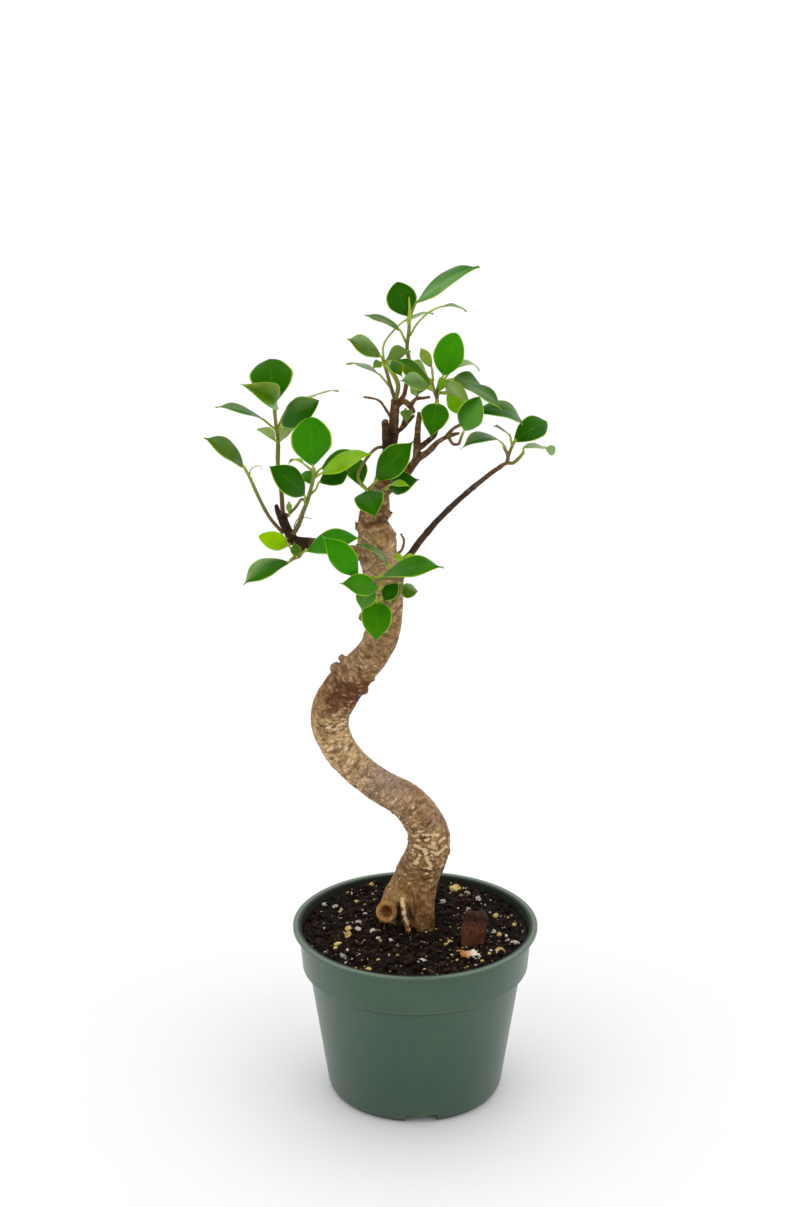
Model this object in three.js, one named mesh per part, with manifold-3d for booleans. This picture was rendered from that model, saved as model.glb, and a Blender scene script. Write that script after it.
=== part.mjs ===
// A tiger bark ficus grown as an informal bonsai in a plastic nursery pot.
// Millimetres, +Z up. The origin is the middle of the pot's underside, X is to the right as the
// tree is seen from its front, and Y runs away from the viewer.

import * as THREE from 'three';
import { mergeVertices } from 'three/addons/utils/BufferGeometryUtils.js';
import Module from 'manifold-3d';

const wasm = await Module();
wasm.setup();

// Pot: a 6 inch azalea pot.
const potHeight = 111;
const rimRadius = 76.2;
const lipWidth = 3.7;
const lipThickness = 1.9;
const bandHeight = 27.2;
const bandFoot = 70.4;
const wall = 1.6;
const footRadius = 54;
const bodySlope = 0.15;
const footRounding = 6;
const potSides = 40;
const channelWidth = 19.5;
const channelHeight = 6;
const channelStart = 19;
const channelTurn = 0.07;
const drainRadius = 4;
const drainCircle = 36;

// Soil: filled to a finger's width under the lip, drawn up a little against the wall, higher at the back.
const soilLevel = 104.5;
const soilBankStart = 15;
const soilBankLength = 45;
const soilBankRise = 3;
const soilMound = 2.2;
const soilEdgeRise = 1;
const crumbRelief = 1.1;
const clearance = 0.3;

// Leaves and shoots.
const bladeThickness = 0.8;
const petioleRadius = 0.75;
const bladeStations = [0.14, 0.38, 0.64, 0.87];
const smallBladeStations = [0.22, 0.55, 0.85];
const bluntBladeStations = [0.12, 0.34, 0.6, 0.84, 0.95];
const smallBladeWidth = 10;
const bladeBodyEnd = 0.93;
const dripTipHalfWidth = 0.075;
const pointedRoundness = 0.8;
const bluntRoundness = 0.5;

// Where the eye stands when the tree is seen from its front: a point of the tree is given by its
// place in that picture, in pixels of an 800 x 1207 frame, and by how far it lies behind the pot's axis.
const eye = new THREE.Vector3(-9.5, -1444.95, 815.54);
const eyePitch = 0.3295;
const pixelsPerUnit = 2557;
const frameCentre = [400, 603.5];
// Depths of the crown are listed for a flat tree, and opened out by this share.
const crownSpread = 1.4;

const colours = {
  pot: { color: 0x4b6a56, roughness: 0.42, metalness: 0 },
  soil: { color: 0x2a1c16, roughness: 0.95, metalness: 0 },
  chip: { color: 0x4a2c1e, roughness: 0.85, metalness: 0 },
  perlite: { color: 0xd8cfc0, roughness: 0.8, metalness: 0 },
  bark: { color: 0x8a6f55, roughness: 0.8, metalness: 0 },
  leaf: { color: 0x2f6d14, roughness: 0.35, metalness: 0 },
};

function sightLine(px, py) {
  const right = (px - frameCentre[0]) / pixelsPerUnit;
  const up = (frameCentre[1] - py) / pixelsPerUnit;
  const cos = Math.cos(eyePitch);
  const sin = Math.sin(eyePitch);
  return new THREE.Vector3(right, cos + up * sin, up * cos - sin);
}

function seen([px, py, depth]) {
  const line = sightLine(px, py);
  return eye.clone().addScaledVector(line, (depth - eye.y) / line.y);
}

function inCrown([px, py, depth]) {
  return seen([px, py, depth * crownSpread]);
}

function seenAtHeight([px, py], height) {
  const line = sightLine(px, py);
  return eye.clone().addScaledVector(line, (height - eye.z) / line.z);
}

function seededRandom(seed) {
  let state = seed;
  return () => {
    state = (state * 1664525 + 1013904223) % 4294967296;
    return state / 4294967296;
  };
}

function geometryOf(points, triangles) {
  const geometry = new THREE.BufferGeometry();
  const coordinates = points.flatMap((p) => [p.x, p.y, p.z]);
  geometry.setAttribute('position', new THREE.Float32BufferAttribute(coordinates, 3));
  geometry.setIndex(triangles.flat());
  return geometry;
}

function enclosedVolume(points, triangles) {
  let volume = 0;
  for (const [a, b, c] of triangles) {
    volume += points[a].dot(points[b].clone().cross(points[c]));
  }
  return volume / 6;
}

function closedSolid(points, triangles) {
  const outward = enclosedVolume(points, triangles) > 0 ? triangles : triangles.map(([a, b, c]) => [a, c, b]);
  return solidOf(geometryOf(points, outward));
}

function solidOf(geometry) {
  const bare = geometry.clone();
  bare.deleteAttribute('normal');
  bare.deleteAttribute('uv');
  const merged = mergeVertices(bare, 1e-4);
  return new wasm.Manifold(
    new wasm.Mesh({
      numProp: 3,
      vertProperties: new Float32Array(merged.attributes.position.array),
      triVerts: new Uint32Array(merged.index.array),
    }),
  );
}

function meshOf(name, solid, look) {
  const { vertProperties, triVerts } = solid.getMesh();
  const geometry = new THREE.BufferGeometry();
  geometry.setAttribute('position', new THREE.BufferAttribute(new Float32Array(vertProperties), 3));
  geometry.setIndex(new THREE.BufferAttribute(new Uint32Array(triVerts), 1));
  geometry.computeVertexNormals();
  const mesh = new THREE.Mesh(geometry, new THREE.MeshStandardMaterial(look));
  mesh.name = name;
  return mesh;
}

function joined(solids) {
  return solids.reduce((whole, solid) => whole.add(solid));
}

// A closed tube of changing radius along a smooth line. The rings are carried along the line
// without twist, and relief(u, angle) swells or narrows them.
function limb(stations, { sides = 8, steps = 2, grow = 0, flatEnds = false, relief = () => 1 } = {}) {
  const line = new THREE.CatmullRomCurve3(stations.map((station) => station.at));
  const widths = new THREE.CatmullRomCurve3(stations.map(({ radius }) => new THREE.Vector3(radius, 0, 0)));
  const count = (stations.length - 1) * steps;
  const points = [];
  const triangles = [];
  let normal = null;
  for (let i = 0; i <= count; i += 1) {
    const u = i / count;
    const tangent = line.getTangent(u);
    if (!normal) {
      const helper = Math.abs(tangent.y) < 0.9 ? new THREE.Vector3(0, 1, 0) : new THREE.Vector3(1, 0, 0);
      normal = helper.cross(tangent);
    }
    normal.addScaledVector(tangent, -normal.dot(tangent)).normalize();
    const side = tangent.clone().cross(normal);
    const centre = line.getPoint(u);
    for (let j = 0; j < sides; j += 1) {
      const angle = (j / sides) * Math.PI * 2;
      const radius = widths.getPoint(u).x * relief(u, angle) + grow;
      const point = centre.clone();
      point.addScaledVector(normal, Math.cos(angle) * radius);
      point.addScaledVector(side, Math.sin(angle) * radius);
      points.push(point);
    }
  }
  for (let i = 0; i < count; i += 1) {
    for (let j = 0; j < sides; j += 1) {
      const k = (j + 1) % sides;
      const a = i * sides;
      const b = a + sides;
      triangles.push([a + j, a + k, b + k], [a + j, b + k, b + j]);
    }
  }
  for (const end of [0, count]) {
    const first = end * sides;
    const fan = (a, b, c) => triangles.push(end === 0 ? [a, c, b] : [a, b, c]);
    if (flatEnds) {
      for (let j = 1; j < sides - 1; j += 1) {
        fan(first, first + j, first + j + 1);
      }
    } else {
      const outward = (end === 0 ? -1 : 1) * (widths.getPoint(end / count).x * 0.4 + grow);
      const tip = line.getPoint(end / count).addScaledVector(line.getTangent(end / count), outward);
      const middle = points.push(tip) - 1;
      for (let j = 0; j < sides; j += 1) {
        fan(middle, first + j, first + ((j + 1) % sides));
      }
    }
  }
  return closedSolid(points, triangles);
}

// The same tube with its radius running evenly from one end to the other.
function twig(route, radii, options = {}) {
  const stations = route.map((point, i) => ({
    at: point,
    radius: THREE.MathUtils.lerp(radii[0], radii[1], i / (route.length - 1)),
  }));
  return limb(stations, { sides: 6, steps: 1, ...options });
}

function knob(place, radius, grow = 0) {
  const ball = new THREE.IcosahedronGeometry((radius + grow) * 1.15, 0);
  const centre = seen(place);
  ball.translate(centre.x, centre.y, centre.z);
  return solidOf(ball);
}

// Pot

function bodyRadius(height) {
  return footRadius + bodySlope * height;
}

const bandBase = potHeight - bandHeight;
const footCorner = bodyRadius(footRounding) - footRounding;

// The outside below the band, from the axis under the floor, round the foot and up the side.
function footProfile() {
  const profile = [[0, 0]];
  for (const turn of [0, 30, 60, 90]) {
    const angle = THREE.MathUtils.degToRad(turn);
    profile.push([footCorner + footRounding * Math.sin(angle), footRounding * (1 - Math.cos(angle))]);
  }
  return [...profile, [bodyRadius(bandBase), bandBase]];
}

function potProfile() {
  const bandTop = rimRadius - lipWidth;
  const lipBase = potHeight - lipThickness;
  return [
    ...footProfile(),
    [bandFoot - 0.7, bandBase],
    [bandFoot, bandBase + 0.7],
    [bandTop, lipBase - 1],
    [bandTop + 0.6, lipBase],
    [rimRadius - 0.4, lipBase + 0.2],
    [rimRadius, potHeight - 0.8],
    [rimRadius - 0.7, potHeight],
    [bandTop - wall + 0.9, potHeight - 0.1],
    [bandTop - wall, potHeight - 1.4],
    [bandFoot - wall, bandBase + wall],
    [bodyRadius(bandBase) - wall, bandBase + wall - 0.6],
    [bodyRadius(footRounding) - wall, footRounding + 1],
    [footCorner, wall],
    [0, wall],
  ];
}

function turned(profile) {
  const outline = profile.map(([radius, height]) => new THREE.Vector2(radius, height));
  return new THREE.LatheGeometry(outline, potSides).rotateX(Math.PI / 2);
}

function block(width, length, height, x, y, z) {
  return new THREE.BoxGeometry(width, length, height).translate(x, y, z);
}

// Four raised channels under the floor carry water out to notches in the foot.
function drainChannels(width, top, end) {
  const solids = [];
  for (let i = 0; i < 4; i += 1) {
    const length = end - channelStart;
    const box = block(width, length, top + 1, 0, -(channelStart + length / 2), (top - 1) / 2);
    solids.push(solidOf(box.rotateZ((i * Math.PI) / 2 + channelTurn)));
  }
  return joined(solids);
}

function pot() {
  const shell = solidOf(turned(potProfile()));
  const envelope = solidOf(turned([...footProfile(), [0, bandBase]]));
  const roof = drainChannels(channelWidth + 2 * wall, channelHeight + wall, footRadius).intersect(envelope);
  let body = shell.add(roof).subtract(drainChannels(channelWidth, channelHeight, rimRadius));
  for (let i = 0; i < 4; i += 1) {
    const drain = new THREE.CylinderGeometry(drainRadius, drainRadius, 20, 12).rotateX(Math.PI / 2);
    drain.translate(0, -drainCircle, channelHeight);
    body = body.subtract(solidOf(drain.rotateZ((i * Math.PI) / 2 + channelTurn)));
  }
  return body;
}

// Soil

function soilBank(y) {
  return soilBankRise * THREE.MathUtils.clamp((y - soilBankStart) / soilBankLength, 0, 1) ** 1.5;
}

function soilTop(x, y) {
  const radius = Math.hypot(x, y) / rimRadius;
  const crumbs =
    Math.sin(x * 0.31 + 1.7) * Math.cos(y * 0.27 - 0.6) + 0.7 * Math.sin(x * 0.61 - y * 0.53 + 0.4);
  return soilLevel + soilMound * (1 - radius * radius * 1.6) + crumbRelief * crumbs * 0.7 + soilBank(y);
}

function soil() {
  const random = seededRandom(11);
  const wallGap = wall + clearance;
  const edgeHeight = soilLevel + soilEdgeRise;
  const edgeShare = (edgeHeight - bandBase) / bandHeight;
  const edgeRadius = THREE.MathUtils.lerp(bandFoot, rimRadius - lipWidth, edgeShare) - wallGap;
  const topRings = [15, 29, 42, 54, 64];
  const sideRings = [
    [bandFoot - wallGap, bandBase + wall + clearance],
    [bodyRadius(bandBase) - wallGap, bandBase + wall + clearance - 0.6],
    [bodyRadius(footRounding) - wallGap, footRounding + 1],
    [footCorner - clearance, wall + clearance],
  ];
  const points = [new THREE.Vector3(0, 0, soilTop(0, 0))];
  const triangles = [];
  const ring = (radius, heightAt) => {
    for (let j = 0; j < potSides; j += 1) {
      const angle = (j / potSides) * Math.PI * 2;
      const x = radius * Math.sin(angle);
      const y = -radius * Math.cos(angle);
      points.push(new THREE.Vector3(x, y, heightAt(x, y)));
    }
  };
  for (const radius of topRings) {
    ring(radius, (x, y) => soilTop(x, y) + (random() - 0.5) * crumbRelief);
  }
  ring(edgeRadius, (x, y) => edgeHeight + soilBank(y));
  for (const [radius, height] of sideRings) {
    ring(radius, () => height);
  }
  const rings = topRings.length + 1 + sideRings.length;
  const bottom = points.push(new THREE.Vector3(0, 0, wall + clearance)) - 1;
  const at = (i, j) => 1 + i * potSides + (j % potSides);
  for (let j = 0; j < potSides; j += 1) {
    triangles.push([0, at(0, j), at(0, j + 1)]);
    triangles.push([bottom, at(rings - 1, j + 1), at(rings - 1, j)]);
    for (let i = 0; i < rings - 1; i += 1) {
      triangles.push([at(i, j), at(i + 1, j), at(i + 1, j + 1)], [at(i, j), at(i + 1, j + 1), at(i, j + 1)]);
    }
  }
  const roofTop = channelHeight + wall + clearance;
  const roofWidth = channelWidth + 2 * (wall + clearance);
  const roof = drainChannels(roofWidth, roofTop, footRadius);
  const middle = block(roofWidth, roofWidth, roofTop + 1, 0, 0, (roofTop - 1) / 2);
  const roofStart = solidOf(middle.rotateZ(channelTurn));
  return closedSolid(points, triangles).subtract(roof).subtract(roofStart);
}

// A rough lump with a flat-sided break, for the chips that lie on the soil.
function lump(size, seed, grow = 0) {
  const random = seededRandom(seed);
  const ball = new THREE.IcosahedronGeometry(0.5, 1).deleteAttribute('normal').deleteAttribute('uv');
  const geometry = mergeVertices(ball);
  const place = geometry.attributes.position;
  for (let i = 0; i < place.count; i += 1) {
    const swell = 0.86 + 0.28 * random();
    const point = new THREE.Vector3().fromBufferAttribute(place, i).multiplyScalar(swell);
    place.setXYZ(i, point.x * size[0], point.y * size[1], point.z * size[2]);
  }
  const length = Math.max(...size);
  geometry.scale(...size.map((side) => 1 + (2 * grow) / Math.min(side, length)));
  return geometry;
}

const barkChipPlace = {
  pixel: [473, 936],
  height: 111,
  size: [16, 10, 37],
  lean: [-0.1, 0.12, 0.2],
  seed: 5,
};
const paleChipPlace = {
  pixel: [470, 956],
  height: 105.5,
  size: [9.5, 7, 5.5],
  lean: [0.1, 0.2, 0.5],
  seed: 9,
};

function chip(place, grow = 0) {
  const geometry = lump(place.size, place.seed, grow);
  geometry.rotateX(place.lean[0]).rotateY(place.lean[1]).rotateZ(place.lean[2]);
  const spot = seenAtHeight(place.pixel, place.height);
  return solidOf(geometry.translate(spot.x, spot.y, spot.z));
}

// Trunk, roots and woody branches, grown as one

// Centre of the trunk in the picture with its depth, and its radius in millimetres.
const trunkStations = [
  { place: [411, 938, 15], radius: 11 },
  { place: [410, 916, 15], radius: 14.2 },
  { place: [411, 896, 14], radius: 15.2 },
  { place: [417, 876, 12], radius: 14 },
  { place: [426, 855, 9], radius: 13.2 },
  { place: [429, 836, 8], radius: 12.8 },
  { place: [421, 817, 8], radius: 12 },
  { place: [404, 799, 9], radius: 11.2 },
  { place: [380, 786, 11], radius: 10.4 },
  { place: [359, 770, 13], radius: 10 },
  { place: [342, 752, 15], radius: 10.3 },
  { place: [331, 730, 17], radius: 11.2 },
  { place: [331, 710, 17], radius: 12 },
  { place: [341, 691, 15], radius: 12.2 },
  { place: [357, 671, 12], radius: 11 },
  { place: [373, 653, 9], radius: 10.2 },
  { place: [382, 634, 7], radius: 10.4 },
  { place: [384, 610, 5], radius: 11.2 },
  { place: [384, 582, 4], radius: 11 },
  { place: [378, 556, 4], radius: 11.4 },
  { place: [376.5, 538, 4], radius: 11.4 },
  { place: [373, 523, 4], radius: 9 },
  { place: [376, 508, 3], radius: 8.2 },
  { place: [379, 494, 2], radius: 6.4 },
  { place: [382, 481, 1], radius: 4.4 },
  { place: [387, 461, 0], radius: 3.9 },
  { place: [391, 441, 0], radius: 3.7 },
  { place: [394, 420, 0], radius: 2.9 },
  { place: [395, 399, -1], radius: 2.4 },
];

const rootsAndStump = [
  {
    name: 'right root',
    route: [[424, 872, 8], [424, 896, 3], [424, 918, 1], [423, 944, 3]],
    radii: [7, 6.2],
  },
  { name: 'left root', route: [[402, 892, 16], [392, 915, 15], [384, 944, 14]], radii: [8.5, 7] },
  { name: 'back root', route: [[418, 880, 22], [422, 892, 32], [426, 908, 38]], radii: [8, 4.5] },
  { name: 'cut stump', route: [[398, 889, 13], [391, 904, 6], [387, 911, 2]], radii: [7.4, 6.4] },
  {
    name: 'pale root',
    route: [[399, 897, 2], [403, 905, -1], [405, 920, -2.5], [411, 937, -4]],
    radii: [2, 1.3],
  },
];

const knobs = [
  { name: 'knob under the lowest leaf', place: [364, 617, 5], radius: 3.4 },
  { name: 'knob at the edge', place: [399, 605, 0], radius: 2.4 },
  { name: 'bump on the shoulder', place: [336, 668, 12], radius: 4 },
  { name: 'stub of a removed twig', place: [342, 658, 12], radius: 2.4 },
  { name: 'bump inside the bend', place: [371, 678, 13], radius: 3 },
  { name: 'bump below it', place: [364.5, 690, 14], radius: 3 },
  { name: 'branch scar', place: [381.5, 539.5, -5], radius: 4.2 },
  { name: 'ledge beside the scar', place: [391.5, 535, 2], radius: 3 },
  { name: 'flake on the neck', place: [387.5, 514, 2], radius: 2.8 },
  { name: 'flake left of the neck', place: [362.5, 512, 3], radius: 2.2 },
  { name: 'shoulder of the neck', place: [359, 527, 4], radius: 2.8 },
  { name: 'spur on the lower bend', place: [446, 851, 8], radius: 2.8 },
  { name: 'ledge on the lower bend', place: [413, 838, 8], radius: 2.8 },
];

const branches = [
  {
    route: [[374, 553, 3], [350, 552, -1], [326, 547, -4], [307, 543, -7], [293, 541, -8]],
    radii: [4.7, 3.4],
  },
  { route: [[294, 543, -8], [288, 531, -7], [284, 521, -6], [283, 513, -5]], radii: [3.6, 2.8] },
  { route: [[286, 530, -7], [280, 518, -9], [276, 505, -11]], radii: [2.2, 1.6] },
  { route: [[299, 544, -8], [303, 549, -11], [301, 554, -13]], radii: [2.2, 1.2] },
  { route: [[388, 456, 0], [386, 440, -3], [385, 420, -4]], radii: [2.6, 2.1] },
  { route: [[392, 420, -1], [385, 408, -4], [378, 400, -7], [364, 397, -10]], radii: [0.8, 0.6] },
  {
    route: [[378, 498, 2], [392, 486, -1], [404, 476, -3], [411, 467, -5], [417, 459, -6]],
    radii: [3.4, 2.6],
  },
  { route: [[416, 462, -6], [417, 443, -6], [418, 427, -5], [420, 412, -4]], radii: [2.5, 1.8] },
  {
    route: [[416, 460, -6], [429, 451, -9], [438, 442, -11], [449, 436, -13], [460, 433, -14]],
    radii: [2.1, 1],
  },
  {
    route: [[419, 448, -6], [428, 441, -6], [435, 434, -5], [438, 420, -4], [437, 405, -3]],
    radii: [1.7, 1],
  },
  { route: [[446, 437, -12], [453, 429, -12], [460, 425, -11]], radii: [1.1, 0.9] },
  { route: [[448, 436, -13], [453, 444, -15], [459, 444, -16]], radii: [1, 0.8] },
  { route: [[395, 434, 0], [402, 428, -1], [408, 422, -2], [414, 415, -2]], radii: [2, 1.2] },
  { route: [[396, 406, -1], [403, 401, 1], [410, 406, 1], [414, 413, -1]], radii: [2.8, 1.8] },
  { route: [[411, 405, 1], [416, 399, 2], [424, 398, 3], [430, 397, 3]], radii: [1.6, 0.9] },
  { route: [[398, 403, 0], [404, 395, 2], [406, 386, 3]], radii: [2, 1.3] },
  { route: [[401, 429, -1], [404, 421, -3], [405, 413, -4]], radii: [1.7, 1.1] },
  { route: [[386, 580, 4], [398, 566, 6], [409, 556, 8], [420, 541, 10], [436, 522, 13]], radii: [2.8, 2.1] },
  {
    route: [[434, 524, 13], [451, 507, 15], [470, 490, 18], [490, 474, 20], [503, 465, 21.5]],
    radii: [2.1, 1.6],
  },
  { route: [[392, 556, 2], [401, 551, 0], [404, 541, -1], [401, 534, -2]], radii: [0.9, 0.6] },
];

function barkRelief(u, angle) {
  return 1 + 0.035 * Math.sin(3 * angle + 21 * u) + 0.025 * Math.sin(5 * angle - 34 * u + 1.3);
}

function wood(grow = 0) {
  const stations = trunkStations.map(({ place, radius }) => ({ at: seen(place), radius }));
  const solids = [limb(stations, { sides: 12, steps: 1, grow, relief: barkRelief })];
  for (const { route, radii } of rootsAndStump) {
    solids.push(twig(route.map(seen), radii, { sides: 8, grow }));
  }
  for (const { route, radii } of branches) {
    solids.push(twig(route.map(inCrown), radii, { sides: radii[0] > 2 ? 7 : 5, grow }));
  }
  for (const { place, radius } of knobs) {
    solids.push(knob(place, radius, grow));
  }
  return joined(solids);
}

// Leaves and shoots

// Share of the full half width at t: a sine that is drawn to the widest place. A pointed leaf's body ends
// before its drip tip, and a blunt one's swells round to the end.
function halfWidth(t, { widest, blunt }) {
  const bodyEnd = THREE.MathUtils.lerp(bladeBodyEnd, 1, blunt);
  const roundness = THREE.MathUtils.lerp(pointedRoundness, bluntRoundness, blunt * t);
  const power = Math.log(0.5) / Math.log(widest / bodyEnd);
  const share = Math.min(t / bodyEnd, 1);
  const body = Math.max(Math.sin(Math.PI * share ** power), 0) ** roundness;
  return Math.max(body, dripTipHalfWidth);
}

// Length, width and upper side of a blade. A tilt of 0 shows its upper side full to the eye, 90
// turns that side to the sky, and past 90 the underside shows.
function bladeFrame({ base, tip, tilt }) {
  const from = inCrown(base);
  const axis = inCrown(tip).sub(from);
  const length = axis.length();
  axis.divideScalar(length);
  const toEye = eye.clone().sub(from);
  toEye.addScaledVector(axis, -toEye.dot(axis)).normalize();
  const across = axis.clone().cross(toEye);
  if (across.z + 0.3 * across.x < 0) {
    across.negate();
  }
  const angle = THREE.MathUtils.degToRad(tilt);
  const upper = toEye.multiplyScalar(Math.cos(angle)).addScaledVector(across, Math.sin(angle));
  return { from, axis, length, upper, side: axis.clone().cross(upper) };
}

function bladePoint(frame, leaf, t, edge) {
  const half = (edge * halfWidth(t, leaf) * leaf.width) / 2;
  const angle = THREE.MathUtils.degToRad(leaf.fold);
  const point = frame.from.clone().addScaledVector(frame.axis, t * frame.length);
  point.addScaledVector(frame.side, half * Math.cos(angle));
  const rise = leaf.arch * 4 * t * (1 - t) + Math.abs(half) * Math.sin(angle);
  return point.addScaledVector(frame.upper, rise);
}

// Six points round the leaf at a station of the blade: its upper face from edge to edge, and back below.
function bladeRow(frame, leaf, t) {
  const lift = frame.upper.clone().multiplyScalar(bladeThickness / 2);
  const across = [-1, 0, 1].map((edge) => bladePoint(frame, leaf, t, edge));
  return [...across.map((p) => p.clone().add(lift)), ...across.reverse().map((p) => p.clone().sub(lift))];
}

function stalkRow(centre, side, upper, radius) {
  const corners = [[-0.8, 0.5], [0, 1], [0.8, 0.5], [0.8, -0.5], [0, -1], [-0.8, -0.5]];
  return corners.map(([across, up]) => {
    const point = centre.clone().addScaledVector(side, across * radius);
    return point.addScaledVector(upper, up * radius);
  });
}

// The stalk's rows, from the blade's base back to the stem, turning with the stalk but not twisting.
function stalkRows(frame, leaf) {
  const places = [bladePoint(frame, leaf, 0.1, 0), frame.from, ...leaf.from.map(inCrown).reverse()];
  const rows = [];
  const side = frame.side.clone();
  const upper = frame.upper.clone();
  let heading = frame.axis.clone().negate();
  for (let i = 1; i < places.length; i += 1) {
    const next = places[Math.min(i + 1, places.length - 1)];
    const direction = next.clone().sub(places[i - 1]).normalize();
    const turn = new THREE.Quaternion().setFromUnitVectors(heading, direction);
    side.applyQuaternion(turn);
    upper.applyQuaternion(turn);
    heading = direction;
    rows.unshift(stalkRow(places[i], side, upper, leaf.stalk));
  }
  return rows;
}

function leafSolid(leaf) {
  const frame = bladeFrame(leaf);
  const longStations = leaf.blunt > 0.5 ? bluntBladeStations : bladeStations;
  const stations = leaf.width > smallBladeWidth ? longStations : smallBladeStations;
  const rows = [...stalkRows(frame, leaf), ...[...stations, 1].map((t) => bladeRow(frame, leaf, t))];
  const triangles = [[0, 1, 2], [0, 2, 3], [0, 3, 4], [0, 4, 5]];
  const last = (rows.length - 1) * 6;
  triangles.push(...triangles.map(([a, b, c]) => [last + a, last + c, last + b]));
  for (let i = 0; i < rows.length - 1; i += 1) {
    for (let j = 0; j < 6; j += 1) {
      const k = (j + 1) % 6;
      const [a, b] = [i * 6, i * 6 + 6];
      if (j < 3) {
        triangles.push([a + j, b + k, a + k], [a + j, b + j, b + k]);
      } else {
        triangles.push([a + j, b + j, a + k], [a + k, b + j, b + k]);
      }
    }
  }
  return closedSolid(rows.flat(), triangles);
}

function leaf(base, tip, width, tilt, extra = {}) {
  const usual = { arch: 1.5, fold: 8, widest: 0.52, blunt: 0, stalk: petioleRadius };
  return { base, tip, width, tilt, ...usual, ...extra };
}

function stem(route, radii) {
  return { route, radii };
}

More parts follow.
